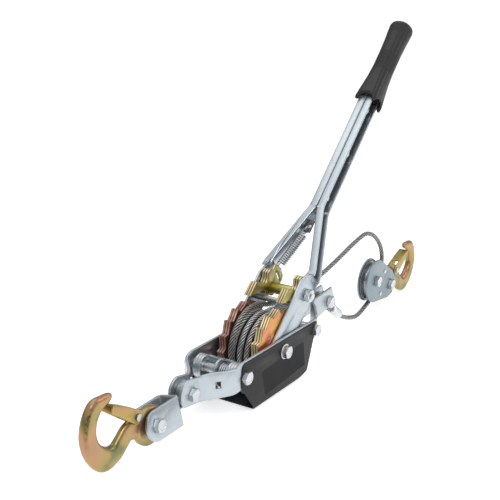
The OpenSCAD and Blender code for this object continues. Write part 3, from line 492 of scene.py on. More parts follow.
def raw_object(name, verts, faces, edges=()):
    mesh = bpy.data.meshes.new(name)
    mesh.from_pydata([tuple(v) for v in verts], edges, faces)
    mesh.validate()
    return linked(name, mesh)


def mark(obj, name, values):
    """Keeps a number or a vector for each point of a mesh."""
    values = np.asarray(values, np.float32)
    kind, field = ("FLOAT", "value") if values.ndim == 1 else ("FLOAT_VECTOR", "vector")
    obj.data.attributes.new(name, kind, "POINT").data.foreach_set(field, values.ravel())


def outward(mesh):
    bm = bmesh.new()
    bm.from_mesh(mesh)
    bmesh.ops.recalc_face_normals(bm, faces=bm.faces)
    bm.to_mesh(mesh)
    bm.free()


def baked(obj):
    """Applies an object's modifiers, so that its own mesh holds the result."""
    bpy.context.view_layer.update()
    graph = bpy.context.evaluated_depsgraph_get()
    mesh = bpy.data.meshes.new_from_object(
        obj.evaluated_get(graph), preserve_all_data_layers=True, depsgraph=graph)
    obj.modifiers.clear()
    old = obj.data
    obj.data = mesh
    bpy.data.meshes.remove(old)
    return obj


def finished(obj, material, body, nodes=(), sharp=SHARP):
    """Shades a piece, paints it and hangs it on its body."""
    mesh = obj.data
    mesh.materials.clear()
    mesh.materials.append(finish(material))
    for poly in mesh.polygons:
        poly.material_index = 0
        poly.use_smooth = True
    mesh.set_sharp_from_angle(angle=radians(sharp))
    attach(obj, body)
    if nodes:
        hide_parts(*nodes)
    return obj


def piece(name, part, matrix, material, node, sharp=SHARP):
    """A made part in place of a node."""
    obj = raw_object(name, placed(matrix, part[0]), part[1])
    outward(obj.data)
    return finished(obj, material, BODY_OF[node], (node,), sharp=sharp)


# ---- pieces from the frame's solids

def solid_copy(node, matrix):
    """A node's solid as a clean mesh, in millimetres of its group's frame."""
    bm = bmesh.new()
    bm.from_mesh(frame["nodes"][node].data)
    bmesh.ops.remove_doubles(bm, verts=bm.verts, dist=2e-6)
    bm.transform(matrix.inverted() @ Matrix.Scale(1 / MM, 4))
    bmesh.ops.dissolve_limit(bm, angle_limit=radians(0.6), verts=bm.verts, edges=bm.edges)
    bmesh.ops.recalc_face_normals(bm, faces=bm.faces)
    return bm


def soften(bm, edges, width, segments):
    if edges and width > 0:
        bmesh.ops.bevel(bm, geom=edges, offset=width, offset_type="OFFSET", segments=segments,
                        profile=0.5, affect="EDGES", clamp_overlap=False)


def round_bends(bm, path, reach):
    """Turns the sharp bends of a sheet whose outer face follows path into soft ones."""
    bends = []
    for a, b, c in zip(path, path[1:], path[2:]):
        n1 = unit((a[1] - b[1], b[0] - a[0]))
        n2 = unit((b[1] - c[1], c[0] - b[0]))
        mitre = n1 + n2
        slope = (c[1] - b[1]) / (c[0] - b[0]) - (b[1] - a[1]) / (b[0] - a[0])
        bends.append((*b, mitre[0] / mitre[1], slope))
    for x, y, lean, slope in bends:
        for share in (-1, -0.66, -0.33, 0, 0.33, 0.66, 1):
            bmesh.ops.bisect_plane(
                bm, geom=bm.verts[:] + bm.edges[:] + bm.faces[:], dist=1e-4,
                plane_co=(x + share * reach, y, 0), plane_no=(1, -lean, 0))
    for v in bm.verts:
        for x, y, lean, slope in bends:
            t = abs(v.co.x - x - (v.co.y - y) * lean)
            if t < reach:
                v.co.y += slope * (reach - t) ** 2 / (4 * reach)
                break


# half the width of a channel arm and of its web's flat, and where each begins; then how deep
# the flanges' corners lie and how far they are rounded
ARM_HALF, FLANGE_FROM = 10, 91.9
WEB_HALF, WEB_FROM = 7.9, 96
FLANGE_DEPTH, FOLD_R = 1.9, 1.8


def fold_edges(bm, path, side):
    """The long corners where a channel arm's web turns into its flanges."""
    xs, ys = zip(*path)
    found = []
    for e in bm.edges:
        ends = [v.co for v in e.verts]
        long = abs(ends[0].x - ends[1].x) > 0.2
        if long and all(abs(abs(p.z) - ARM_HALF) < 0.05 and p.x > FLANGE_FROM
                        and side * (np.interp(p.x, xs, ys) - p.y) > FLANGE_DEPTH for p in ends):
            found.append(e)
    return found


def solid_piece(node, material, matrix, edge=None, segments=2, bends=None, fold=0):
    """A node's own solid with softened edges, in a finish of its own."""
    settings = bpy.context.scene.winch
    bm = solid_copy(node, matrix)
    if bends:
        round_bends(bm, bends, settings.bend / MM)
    if fold:
        soften(bm, fold_edges(bm, bends, fold), FOLD_R, 4)
    sharp = [e for e in bm.edges if len(e.link_faces) == 2 and e.is_convex
             and e.calc_face_angle(0) > radians(SHARP)]
    soften(bm, sharp, settings.edge / MM if edge is None else edge, segments)
    if fold:
        xs, ys = zip(*bends)
        # the web mask: the deep flat of a channel's web, which the arm finish darkens as painted shade
        web = bm.verts.layers.float.new("web")
        for v in bm.verts:
            deep = fold * (v.co.y - np.interp(v.co.x, xs, ys)) < 0.6
            v[web] = float(deep and abs(v.co.z) < WEB_HALF and v.co.x > WEB_FROM)
    bm.transform(Matrix.Scale(MM, 4) @ matrix)
    mesh = bpy.data.meshes.new(node + "_part")
    bm.to_mesh(mesh)
    bm.free()
    return finished(linked(mesh.name, mesh), material, BODY_OF[node], (node,))


def solids(matrix, *rows):
    """Several nodes of one group: rows are (node, material) or (node, material, softening)."""
    for node, material, *edge in rows:
        solid_piece(node, material, matrix, *edge)


# ---- geometry node trees

def tree_group(name, sockets):
    """A geometry tree with named inputs, as (tree, inputs, output node)."""
    group = bpy.data.node_groups.new(name, "GeometryNodeTree")
    group.is_modifier = True
    interface = group.interface
    interface.new_socket("Geometry", in_out="INPUT", socket_type="NodeSocketGeometry")
    for label, kind, default in sockets:
        made = interface.new_socket(label, in_out="INPUT", socket_type=kind)
        if default is not None:
            made.default_value = default
    interface.new_socket("Geometry", in_out="OUTPUT", socket_type="NodeSocketGeometry")
    t = Tree(group)
    start, end = t.add("NodeGroupInput", out=None), t.add("NodeGroupOutput", out=None)
    return t, {s.name: Value(group, s) for s in start.outputs if s.name}, end


def close_tree(t, v, end, shape):
    shape = t.add("GeometryNodeRealizeInstances", inputs={"Geometry": shape})
    shape = t.add("GeometryNodeSetMaterial", inputs={"Geometry": shape, "Material": v["Finish"]})
    put(t.tree, end.inputs[0], shape)
    return t.tree


def stored(t, shape, kind, name, value):
    """The shape with a value kept on its points."""
    return t.add("GeometryNodeStoreNamedAttribute", {"data_type": kind, "domain": "POINT"},
                 {"Geometry": shape, "Name": name, "Value": value})


def rope_tree():
    """Strands laid round the input line, each a round tube."""
    t, v, end = tree_group("Laid rope", (
        ("Laying radius", "NodeSocketFloat", 0.00198),
        ("Strand radius", "NodeSocketFloat", 0.00102),
        ("Lay length", "NodeSocketFloat", 0.026),
        ("Strands", "NodeSocketInt", 6),
        ("Step", "NodeSocketFloat", 0.0016),
        ("Finish", "NodeSocketMaterial", None)))
    line = t.add("GeometryNodeMeshToCurve", inputs={"Mesh": v["Geometry"]})
    line = t.add("GeometryNodeResampleCurve", {"mode": "LENGTH"},
                 {"Curve": line, "Length": v["Step"]})
    along = t.add("GeometryNodeSplineParameter", out="Length")
    position = t.add("GeometryNodeInputPosition")
    line = stored(t, line, "FLOAT", "along", along)
    line = stored(t, line, "FLOAT_VECTOR", "middle", position)
    copies = t.add("GeometryNodeDuplicateElements", {"domain": "SPLINE"},
                   {"Geometry": line, "Amount": v["Strands"]}, out=None)
    number = Value(t.tree, copies.outputs["Duplicate Index"])
    turn = (number / v["Strands"] + along / v["Lay length"]) * (2 * pi)
    normal = t.add("GeometryNodeInputNormal", out="Normal")
    side = t.vector("CROSS_PRODUCT", {0: t.add("GeometryNodeInputTangent"), 1: normal})
    a = t.vector("SCALE", {0: normal, "Scale": turn.cosine() * v["Laying radius"]})
    b = t.vector("SCALE", {0: side, "Scale": turn.sine() * v["Laying radius"]})
    strands = t.add("GeometryNodeSetPosition", inputs={
        "Geometry": copies.outputs["Geometry"], "Offset": t.vector("ADD", {0: a, 1: b})})
    ring = t.add("GeometryNodeCurvePrimitiveCircle", {"mode": "RADIUS"},
                 {"Resolution": 8, "Radius": v["Strand radius"]})
    ring = stored(t, ring, "FLOAT_VECTOR", "around", position)
    tubes = t.add("GeometryNodeCurveToMesh",
                  inputs={"Curve": strands, "Profile Curve": ring, "Fill Caps": True})
    return close_tree(t, v, end, tubes)


def hardware_tree():
    """A copy of the template on each input point, its Z along the point's own axis."""
    t, v, end = tree_group("Hardware", (
        ("Template", "NodeSocketObject", None), ("Finish", "NodeSocketMaterial", None)))

    def field(name, kind):
        return t.add("GeometryNodeInputNamedAttribute", {"data_type": kind}, {"Name": name})

    turn = t.add("FunctionNodeAlignRotationToVector", {"axis": "Z"},
                 {"Vector": field("axis", "FLOAT_VECTOR")})
    own = t.add("ShaderNodeCombineXYZ", inputs={"Z": field("spin", "FLOAT")})
    turn = t.add("FunctionNodeRotateRotation", {"rotation_space": "LOCAL"},
                 {"Rotation": turn, "Rotate By": own})
    template = t.add("GeometryNodeObjectInfo", inputs={"Object": v["Template"]}, out="Geometry")
    copies = t.add("GeometryNodeInstanceOnPoints", inputs={
        "Points": v["Geometry"], "Instance": template, "Rotation": turn,
        "Scale": field("stretch", "FLOAT_VECTOR")})
    return close_tree(t, v, end, copies)


def run_tree(obj, group, values):
    """Gives obj the tree's result as its own mesh."""
    modifier = obj.modifiers.new(group.name, "NODES")
    modifier.node_group = group
    for item in group.interface.items_tree:
        if item.item_type == "SOCKET" and item.in_out == "INPUT" and item.name in values:
            modifier[item.identifier] = values[item.name]
    return baked(obj)


def laid_rope(name, points, material, nodes, lay):
    """A rope of laid strands along points in metres."""
    settings = bpy.context.scene.winch
    group = bpy.data.node_groups.get("Laid rope") or rope_tree()
    edges = [(i, i + 1) for i in range(len(points) - 1)]
    obj = raw_object(name, points, [], edges)
    run_tree(obj, group, {"Lay length": lay, "Strands": settings.strands,
                          "Finish": finish(material)})
    return finished(obj, material, BODY_OF[nodes[0]], nodes, sharp=70)


def hardware(name, template, places, material, nodes, sharp=30):
    """One piece of equal parts: places are (matrix, point, direction, stretch, spin)."""
    group = bpy.data.node_groups.get("Hardware") or hardware_tree()
    points, axes, stretches, spins = zip(*(
        (placed(m, [point])[0], unit(np.array(m)[:3, :3] @ np.asarray(direction, float)),
         stretch, radians(spin)) for m, point, direction, stretch, spin in places))
    model = raw_object(name + "_template", template[0] * MM, template[1])
    outward(model.data)
    obj = raw_object(name, points, [])
    mark(obj, "axis", axes)
    mark(obj, "stretch", stretches)
    mark(obj, "spin", spins)
    run_tree(obj, group, {"Template": model, "Finish": finish(material)})
    bpy.data.objects.remove(model)
    return finished(obj, material, BODY_OF[nodes[0]], nodes, sharp=sharp)


# ---- templates of hardware

HEX_ACROSS, HEX_SIDES = 13.0, 48


def hex_part(rings):
    """A hexagonal head or nut: rings are (radius or None for the hexagon, height, chamfer)."""
    step = radians(60)
    verts = []
    for r, z, chamfer in rings:
        for a in around(HEX_SIDES):
            h = HEX_ACROSS / 2 / cos((a + step / 2) % step - step / 2)
            radius = h if r is None else r
            drop = chamfer * max(0, h - HEX_ACROSS / 2 * 0.97) * tan(radians(30))
            verts.append((radius * cos(a), radius * sin(a), z - drop))
    return np.array(verts), ring_faces(len(rings), HEX_SIDES)


def hex_head(height=5.3):
    return hex_part([(6.3, 0, 0), (None, 0.25, 0), (None, height - 0.05, 1), (5.9, height, 0),
                     (4.6, height, 0), (4.3, height - 0.25, 0), (2, height - 0.3, 0)])


def hex_nut(height=6.5, tip=2.0):
    thread = []
    for k in range(int(tip / 0.5)):
        thread += [(3.95, height + 0.15 + 0.5 * k, 0), (3.62, height + 0.4 + 0.5 * k, 0)]
    return hex_part([(6.3, 0, 0), (None, 0.4, -1), (None, height - 0.05, 1), (5.9, height, 0),
                     (4.3, height - 0.1, 0), (4.0, height - 0.3, 0)] + thread
                    + [(3.3, height + tip, 0), (1.5, height + tip, 0)])


def shank():
    """A pin one metre long, which is stretched to its bolt's length."""
    return turned_pin([(0, 0), (4, 0), (4, 1000), (0, 1000)], 32)


def dome(r, height):
    steps = [(polar(r, a)[0], height * (0.25 + 0.75 * polar(1, a)[1])) for a in range(0, 90, 15)]
    return turned_pin([(0, 0), (r, 0)] + steps + [(0, height)], 32)


# ---- routes of ropes and springs

AXLE_Z = 47.8
# the cable's lead round the winding: radius, place across, first and last angle
LEAD_R, LEAD_Y, LEAD_FROM, LEAD_TO = 42.5, 9.0, 250, 90
WINDING_R, WINDING_FROM, WINDING_STEP, WINDING_STEPS = 36, 257, 5, 198
CABLE_POINTS = [
    (10, 9, 89.6), (20, 8.5, 87.2), (30.5, 8, 83.9), (42, 7.5, 82.4), (56, 7, 82),
    (80, 6, 82.6), (110, 4.5, 84.4), (139, 3, 87.4), (181, 2, 96.4), (224, 1.5, 107.4),
    (248, 1, 112.4), (262, 1, 113.4), (276, 1, 109.9), (288, 1, 103.9), (300, 1, 94.9),
    (311, 1, 81.9), (316, 1, 67.4), (315, 1, 54.4), (311.5, 1, 44.4), (309.5, 1, 38.4),
    (307.5, 1, 32.9), (304, 1, 28.4), (299, 1, 23.9), (291, 1, 18.9), (282, 1, 14.4),
    (271, 1, 10.4), (260, 0.5, 7.6), (248, 0, 6), (236, 0, 7), (218, 0, 11.9),
    (206, 0, 16.9)]
ANCHOR = np.array((151.0, 0.0, 55.4))
FERRULE_END = np.array((192.0, 0.0, 24.4))
FERRULE_LEN, EYE_R = 25.0, 9.0
ALONG = FERRULE_END - ANCHOR
FERRULE = shifted(*ANCHOR) @ turned("Y", -degrees(atan2(ALONG[2], ALONG[0])))


def cable_route():
    bow = [polar(LEAD_R, a) for a in np.linspace(LEAD_FROM, LEAD_TO, 15)]
    lead = [(x, LEAD_Y, AXLE_Z + z) for x, z in bow]
    straight = FERRULE_END + ROPE_D * unit(ALONG)
    fine = smooth([lead[-1]] + CABLE_POINTS + [straight], 2)
    return np.array(lead[:-1] + [tuple(p) for p in fine] + [tuple(FERRULE_END)]) * MM


def winding_route():
    half = WHEEL_IN - ROPE_D / 2 - 0.4
    turns = coils(WINDING_R, WINDING_FROM, -WINDING_STEP,
                  [half - 2 * half * i / WINDING_STEPS for i in range(WINDING_STEPS + 1)])
    start = turns[0] + ROPE_D * unit(turns[0] - turns[1])
    end = turns[-1] + ROPE_D * unit(turns[-1] - turns[-2])
    return placed(AXLE, [start, *turns, end])


def eye_route():
    face = np.linalg.norm(ALONG) - FERRULE_LEN
    leg = (face - ROPE_D, ROPE_D / 2 + 0.25)
    a = degrees(atan2(leg[1], leg[0]) + acos(EYE_R / hypot(*leg)))
    bow = [polar(EYE_R, a + (360 - a - a) * i / 24) for i in range(25)]
    flat = ([(face + 2, leg[1]), (face, leg[1]), leg] + bow
            + [(leg[0], -leg[1]), (face, -leg[1]), (face + 2, -leg[1])])
    return placed(FERRULE, [(x, 0, z) for x, z in flat])


# springs: diameters of the wires, of the front tube and of the tension spring's coils, and
# the degrees between two points of a coil
HOLDING_WIRE, TENSION_WIRE, LATCH_WIRE = 2, 1.6, 0.8
TUBE_D, TENSION_D = 11, 10.6
STEP = 22.5
# half the thickness of a hook's lug, the floor of its recess, and the latch pin's radius
LUG_HALF, RECESS, LATCH_PIN_R = 4.7, 0.4, 2


def holding_spring_route():
    """Coils round the front tube, a short end, and a leg into the frame plate's hole."""
    r = (TUBE_D / 2 + HOLDING_WIRE / 2 + 0.1) / cos(radians(STEP))
    curls = coils(r, 90, STEP, [-4.5 - 2.5 * i / 16 for i in range(65)])
    slant = unit((NOSE_OUT - FRAME_OUT, -27, 0))
    hole = np.array((-30.5, (3 - NOSE_OUT - FRAME_OUT) / 2, -0.9))
    first, last = curls[0], curls[-1]
    legs = smooth([last, last + (-6, 0, -1.5), last + (-16, 0.5, -5.5), hole - 6 * slant,
                   hole + 6 * slant], 4)
    return np.array([first + (7, 0.2, -0.4), first + (4.5, 0.1, 0), *curls, *legs[1:]])


def tension_spring_route():
    """Close coils with a hook at each end, from the pawl's tab to the arm's lug."""
    r = (TENSION_D - TENSION_WIRE) / 2
    low = np.array((93.9, 17.25, 1.5))
    lug = np.array((156.0, 2.0, 1.0))
    axis = unit(lug - low)
    high = lug - (5.2 - TENSION_WIRE / 2 + 0.9) * axis
    span = np.linalg.norm(high - low)
    across = unit(np.array((0, 1, 0)) - axis[1] * axis)
    front = np.cross(across, axis)
    rise = r + 3

    def at(x, y, z):
        return low + x * front + y * across + z * axis

    points = [at(0, *polar(r, a)) for a in range(140, 351, 15)] + [at(0, r, 1.5)]
    points += [at(*polar(r, 90 + STEP * i), rise + (span - 2 * rise) * i / 256)
               for i in range(257)]
    points.append(at(0.6 * r, 0.6 * r, span - rise + 2.4))
    points += [at(x, 0, span + z) for x, z in (polar(r, a) for a in range(0, 211, 15))]
    return np.array(points)


def latch_spring_route():
    """Two and a half coils round the latch pin, in the hook's recess."""
    r = LATCH_PIN_R + LATCH_WIRE / 2 + 0.5
    low = RECESS + LATCH_WIRE / 2 + 0.1
    pitch = (LUG_HALF - RECESS - LATCH_WIRE - 0.2) / 2.5
    return coils(r, 200, STEP, [low + pitch * i / 16 for i in range(41)])


# ---- hooks and grip

HOOK_LINE = [
    (12, 2, 12, 4.3), (20, 4, 11.5, 4.4), (31.4, 3.2, 10.3, 4.5), (40, -4, 10, 4.7),
    (49.6, -11.2, 10.3, 5.2), (64, -12, 12, 6), (78.3, -0.7, 10.2, 6), (85, 15, 9.2, 6),
    (83.5, 30, 8.8, 5.6), (77, 40.7, 9, 5), (68, 44, 6.7, 4.4), (59.5, 46, 4.8, 3.8),
    (56, 47.3, 3.4, 3), (54, 48.3, 1.6, 1.6)]
LATCH_AT = np.array((22.0, 16.5))


def forged_hook(name, matrix, size, nodes):
    """A forging in one skin: bowl, eye and latch lug, with the latch spring's recess."""
    line = smooth(size * np.array(HOOK_LINE), 6)
    n, sides = len(line), 28
    verts, lefts = [], []
    for i, p in enumerate(line):
        t = unit(line[min(i + 1, n - 1)][:2] - line[max(i - 1, 0)][:2])
        lefts.append((-t[1], t[0]))
        for c, s in ((cos(a), sin(a)) for a in around(sides)):
            h = p[2] * np.sign(c) * abs(c) ** 0.8
            verts.append((p[0] - t[1] * h, -p[3] * np.sign(s) * abs(s) ** 0.8, p[1] + t[0] * h))
    bowl = (np.array(verts), ring_faces(n, sides))
    r = 20 * size
    half = [(5.3, 3.7), (6.3, LUG_HALF), (r - 2.4, LUG_HALF), (r - 0.9, 4.1), (r, 2.2)]
    eye = revolved([(a, -b) for a, b in half] + half[::-1], 64)
    lug = turned_pin([(0, -RECESS), (6.4, -RECESS), (7, 0.2), (7, 4.1), (6.2, LUG_HALF),
                      (0, LUG_HALF)], 40)
    u, v = size * LATCH_AT
    upright = turned("X", 90)
    whole = joined(bowl, moved(eye, upright), moved(lug, shifted(u, 0, v) @ upright))
    obj = raw_object(name, *whole)
    outward(obj.data)
    skin = obj.modifiers.new("Skin", "REMESH")
    skin.mode = "VOXEL"
    skin.voxel_size = 0.8
    ease = obj.modifiers.new("Ease", "SMOOTH")
    ease.factor, ease.iterations = 0.5, 6
    baked(obj)
    recess = turned_pin([(0, -9), (7.5, -9), (7.5, -RECESS), (0, -RECESS)], 48)
    cutter = raw_object(name + "_cutter", *moved(recess, shifted(u, 0, v) @ upright))
    outward(cutter.data)
    cut = obj.modifiers.new("Recess", "BOOLEAN")
    cut.operation, cut.solver, cut.object = "DIFFERENCE", "EXACT", cutter
    baked(obj)
    bpy.data.objects.remove(cutter)
    co = np.empty(len(obj.data.vertices) * 3)
    obj.data.vertices.foreach_get("co", co)
    co = co.reshape(-1, 3)
    near = np.argmin(((co[:, None, ::2] - line[None, :, :2]) ** 2).sum(2), axis=1)
    offset = ((co[:, ::2] - line[near][:, :2]) * np.array(lefts)[near]).sum(1)
    outer = -offset / line[near][:, 2]
    share = near / (n - 1)
    window = np.clip((share - 0.5) * 9, 0, 1) * np.clip((0.74 - share) * 9, 0, 1)
    outer = np.clip((outer - 0.5) * 7, 0, 1) * np.clip((0.98 - outer) * 7, 0, 1)
    obj.data.vertices.foreach_set("co", placed(matrix, co).ravel())
    mark(obj, "outer", outer * window)
    return finished(obj, "hook", BODY_OF[nodes[0]], nodes, sharp=50)


# the grip's sections: place along it, half its width and height, and how square it is
GRIP_SHAPE = np.array([
    (0, 15.6, 16.4, 0.62), (0.03, 15.8, 16.6, 0.62), (0.12, 15, 15.4, 0.7),
    (0.26, 13.9, 14.2, 0.85), (0.42, 13.6, 13.6, 1), (0.62, 13.6, 13.6, 1),
    (0.78, 14.2, 14.2, 1), (0.88, 15, 15, 1), (0.95, 15.2, 15.2, 1),
    (0.975, 14.4, 14.4, 1), (0.993, 12, 12, 1), (1, 9, 9, 1)])
GRIP_MOUTH, GRIP_LENGTH = 341.0, 122.0
CREASES, CREASE_DEPTH, CREASE_WIDTH = (28, 62, 118, 152, 208, 242, 298, 332), 0.045, 0.07


def rubber_grip():
    """The sleeve over the joined arms, with creases in pairs and a dished mouth."""
    sides = 96
    shares = np.concatenate([np.linspace(0, 0.94, 72), np.linspace(0.945, 0.99, 10),
                             (0.995, 0.998, 1.0)])
    # (place, share of the length, shrink): the mouth's inner wall and rim, then the outside
    rings = [(GRIP_MOUTH + x, 0, shrink) for x, shrink in (
        (4, 0.62), (3.6, 0.72), (0.6, 0.8), (0, 0.88), (0.3, 0.96))]
    rings += [(GRIP_MOUTH + 0.8 + (GRIP_LENGTH - 0.8) * s, s, 1.0) for s in shares]
    verts, turn, weave = [], [], []
    for x, s, shrink in rings:
        y, z, q = (np.interp(s, GRIP_SHAPE[:, 0], GRIP_SHAPE[:, k]) for k in (1, 2, 3))
        crease = np.clip(s * 30 - 0.6, 0, 1) * np.clip((0.93 - s) * 30, 0, 1)
        for a in around(sides):
            c, d = cos(a), sin(a)
            dip = sum(np.exp(-(((a - radians(m) + pi) % (2 * pi) - pi) / CREASE_WIDTH) ** 2)
                      for m in CREASES)
            grow = shrink * (1 - CREASE_DEPTH * dip * crease)
            reach = (3 - 8 * abs(sin(2 * a)) ** 3) * max(0, 1 - s / 0.12)
            verts.append((x + reach, grow * y * np.sign(c) * abs(c) ** q,
                          grow * z * np.sign(d) * abs(d) ** q))
            turn.append((c, d, x))
            weave.append(0.36 < s < 0.6 or 0.85 < s < 0.945)
    obj = raw_object("grip_sleeve", placed(HANDLE, verts), ring_faces(len(rings), sides))
    outward(obj.data)
    mark(obj, "turn", turn)
    mark(obj, "weave", weave)
    return finished(obj, "grip", "handle", ("grip",), sharp=60)


# ---- settings

def colour(name, what, default):
    return bpy.props.FloatVectorProperty(
        name=name, description="Colour of the " + what, subtype="COLOR", size=3,
        default=default, min=0, max=1)


def length(name, what, default, low, high):
    return bpy.props.FloatProperty(
        name=name, description=what, default=default, min=low, max=high, unit="LENGTH")


class WinchSettings(bpy.types.PropertyGroup):
    """Sizes and colours of the winch that a user would change."""

    strands: bpy.props.IntProperty(
        name="Strands", description="Strands in the wire rope", default=6, min=3, max=8)
    rope_lay: length("Rope lay", "Length of one full turn of a strand", 0.027, 0.01, 0.1)
    edge: length("Edge softness", "Width of the softened edge of sheet parts", 0.0004, 0, 0.001)
    bend: length("Bend reach", "Half the length over which a sheet bend is rounded",
                 0.006, 0.001, 0.012)
    zinc: colour("Zinc", "zinc plated sheets", (0.50, 0.55, 0.59))
    cover: colour("Cover", "painted cover", (0.014, 0.014, 0.015))
    grip: colour("Grip", "rubber grip", (0.014, 0.014, 0.015))
    floor: colour("Floor", "floor", (0.9, 0.9, 0.9))
    lamp: bpy.props.FloatProperty(
        name="Light", description="Strength of the studio lights", default=1.0, min=0, max=4)


# ---- operators

class WINCH_OT_ropes(bpy.types.Operator):
    """Free cable, drum winding, rope eye and ferrule"""
    bl_idname = "winch.ropes"
    bl_label = "Wire rope"

    def execute(self, context):
        lay = context.scene.winch.rope_lay
        eye = laid_rope("rope_eye", eye_route(), "cable", ("cable_eye",), lay)
        body = turned_pin([
            (0, 0), (3.4, 0), (5.2, 0.2), (6.1, 1), (6.3, 2.2), (6.3, 6.4), (5.9, 7.0),
            (5.9, 10.6), (6.3, 11.2), (6.3, 13.8), (5.9, 14.4), (5.9, 18), (6.3, 18.6),
            (6.3, 22.8), (6.1, 24), (5.2, 24.8), (3.4, 25), (0, 25)], 40)
        far = np.linalg.norm(ALONG)
        along = FERRULE @ shifted(far - FERRULE_LEN, 0, 0) @ turned("Y", 90)
        ferrule = piece("rope_ferrule", body, along, "ferrule", "cable_ferrule")
        route = cable_route()
        free = laid_rope("rope_free", route, "cable", ("free_cable",), lay)
        laid_rope("rope_on_drum", winding_route(), "rope", ("cable_winding",), lay)
        return {"FINISHED"}


class WINCH_OT_frame(bpy.types.Operator):
    """The two joggled frame plates and the black cover"""
    bl_idname = "winch.frame"
    bl_label = "Frame"

    def execute(self, context):
        path = [(-200, NOSE_OUT), (-122, NOSE_OUT), (-95, FRAME_OUT), (78, FRAME_OUT),
                (108, TAIL_OUT), (200, TAIL_OUT)]
        solid_piece("frame_plate_near", "sheet", AXLE, bends=[(x, -y) for x, y in path])
        solid_piece("frame_plate_far", "sheet", AXLE, bends=path)
        solid_piece("frame_cover", "cover", AXLE)
        corners, side = LABEL, COVER_OUT + 0.12
        patch = raw_object("cover_patch", placed(Matrix.Identity(4), [
            (x, -y, z) for y in (COVER_OUT - 0.1, side) for x, z in corners]),
            [(0, 1, 2, 3), (7, 6, 5, 4)] + [(i, 4 + i, 4 + (i + 1) % 4, (i + 1) % 4)
                                            for i in range(4)])
        outward(patch.data)
        finished(patch, "label", "frame")
        return {"FINISHED"}


class WINCH_OT_tubes(bpy.types.Operator):
    """Spacer tubes, washers and bushes on the frame's bolts"""
    bl_idname = "winch.tubes"
    bl_label = "Tubes and washers"

    def execute(self, context):
        solids(AXLE, ("cross_tube", "turned"), ("rear_spacer", "turned"),
               ("axle_washers", "bright", 0.25), ("axle_bush", "turned", 0.25))
        return {"FINISHED"}


class WINCH_OT_bolts(bpy.types.Operator):
    """Every bolt, nut and rivet, placed on points"""
    bl_idname = "winch.bolts"
    bl_label = "Bolts and nuts"

    def execute(self, context):
        one = (1, 1, 1)
        # (group, place along it, place up, distance of the head from the middle, turn)
        frame_bolts = [(AXLE, x, z, half, spin) for x, z, half, spin in (
            (-137, -5.9, NOSE_OUT, 12), (-78, -2.6, COVER_OUT, 25), (69, 3.1, COVER_OUT, 6),
            (0, 0, 35, 18), (151, 7.6, TAIL_OUT, 30))]
        frame_bolts += [(BLOCK, 0, 0, CHEEK_OUT, 4), (BLOCK, BLOCK_REACH, 0, CHEEK_OUT, 22)]
        sets = [
            ("frame", frame_bolts, -1,
             ("nose_bolt", "cross_bolt", "rear_bolt", "axle_bolt", "anchor_bolt", "sheave_bolt",
              "block_hook_bolt"), ("frame_nuts", "block_nuts")),
            ("handle", [(HANDLE, 72.5, -4, ARM_OUT, 10)], 1,
             ("pawl_pivot_bolt",), ("pawl_pivot_nut",)),
            ("clevis", [(CLEVIS_BOLT, 0, 0, CLEVIS_OUT, 20)], -1,
             ("clevis_bolt",), ("clevis_nut",))]
        for body, bolts, side, bolt_nodes, nut_nodes in sets:
            hardware(body + "_bolt_heads", hex_head(),
                     [(m, (x, side * h, z), (0, side, 0), one, a) for m, x, z, h, a in bolts],
                     "bright", bolt_nodes)
            hardware(body + "_bolt_nuts", hex_nut(),
                     [(m, (x, -side * h, z), (0, -side, 0), one, a + 17)
                      for m, x, z, h, a in bolts], "bright", nut_nodes)
            hardware(body + "_bolt_shanks", shank(),
                     [(m, (x, side * h, z), (0, -side, 0), (1, 1, 2 * h * MM), 0)
                      for m, x, z, h, a in bolts], "bright", bolt_nodes)
        spots = [(HANDLE, (s, side * 2.7, 0), (0, side, 0), one, 0)
                 for s in (198.3, 262.8, 329.2) for side in (-1, 1)]
        hardware("handle_rivet_heads", dome(4.5, 2.2), spots, "bright", ("handle_rivets",))
        spots = [(BLOCK, (21.5, side * CHEEK_OUT, z), (0, side, 0), one, 0)
                 for z in (-15.2, 15.2) for side in (-1, 1)]
        hardware("block_rivet_heads", dome(3.2, 1.0), spots, "bright", ("block_rivets",))
        return {"FINISHED"}


class WINCH_OT_drum(bpy.types.Operator):
    """The laminated ratchet wheels, the drum's core and its rivets"""
    bl_idname = "winch.drum"
    bl_label = "Drum"

    def execute(self, context):
        # the far wheel takes the brown finish darkened as painted shade
        solids(AXLE, ("ratchet_near", "wheel", 0.3), ("ratchet_far", "brown", 0.3),
               ("drum_core", "core", 0.2), ("drum_rivets", "wheel", 0.4))
        return {"FINISHED"}


class WINCH_OT_handle(bpy.types.Operator):
    """The two channel arms, the spacer rod and the rubber grip"""
    bl_idname = "winch.handle"
    bl_label = "Handle"

    def execute(self, context):
        path = [(-30, ARM_OUT), (95, ARM_OUT), (180, 2.7), (500, 2.7)]
        solid_piece("handle_arm_near", "arm", HANDLE, bends=[(x, -y) for x, y in path],
                    fold=-1)
        solid_piece("handle_arm_far", "arm", HANDLE, bends=path, fold=1)
        solid_piece("spacer_rod", "turned", HANDLE)
        rubber_grip()
        return {"FINISHED"}


class WINCH_OT_pawls(bpy.types.Operator):
    """Drive pawl with its sleeve, and the holding pawl"""
    bl_idname = "winch.pawls"
    bl_label = "Pawls"

    def execute(self, context):
        solids(PAWL, ("drive_pawl_near", "pawl", 0.3), ("drive_pawl_far", "pawl", 0.3),
               ("drive_pawl_tab", "pawl", 0.3), ("pawl_sleeve", "sleeve"))
        solids(CROSS, ("holding_pawl_near", "turned", 0.3), ("holding_pawl_far", "turned", 0.3),
               ("holding_pawl_web", "sheet", 0.3))
        return {"FINISHED"}


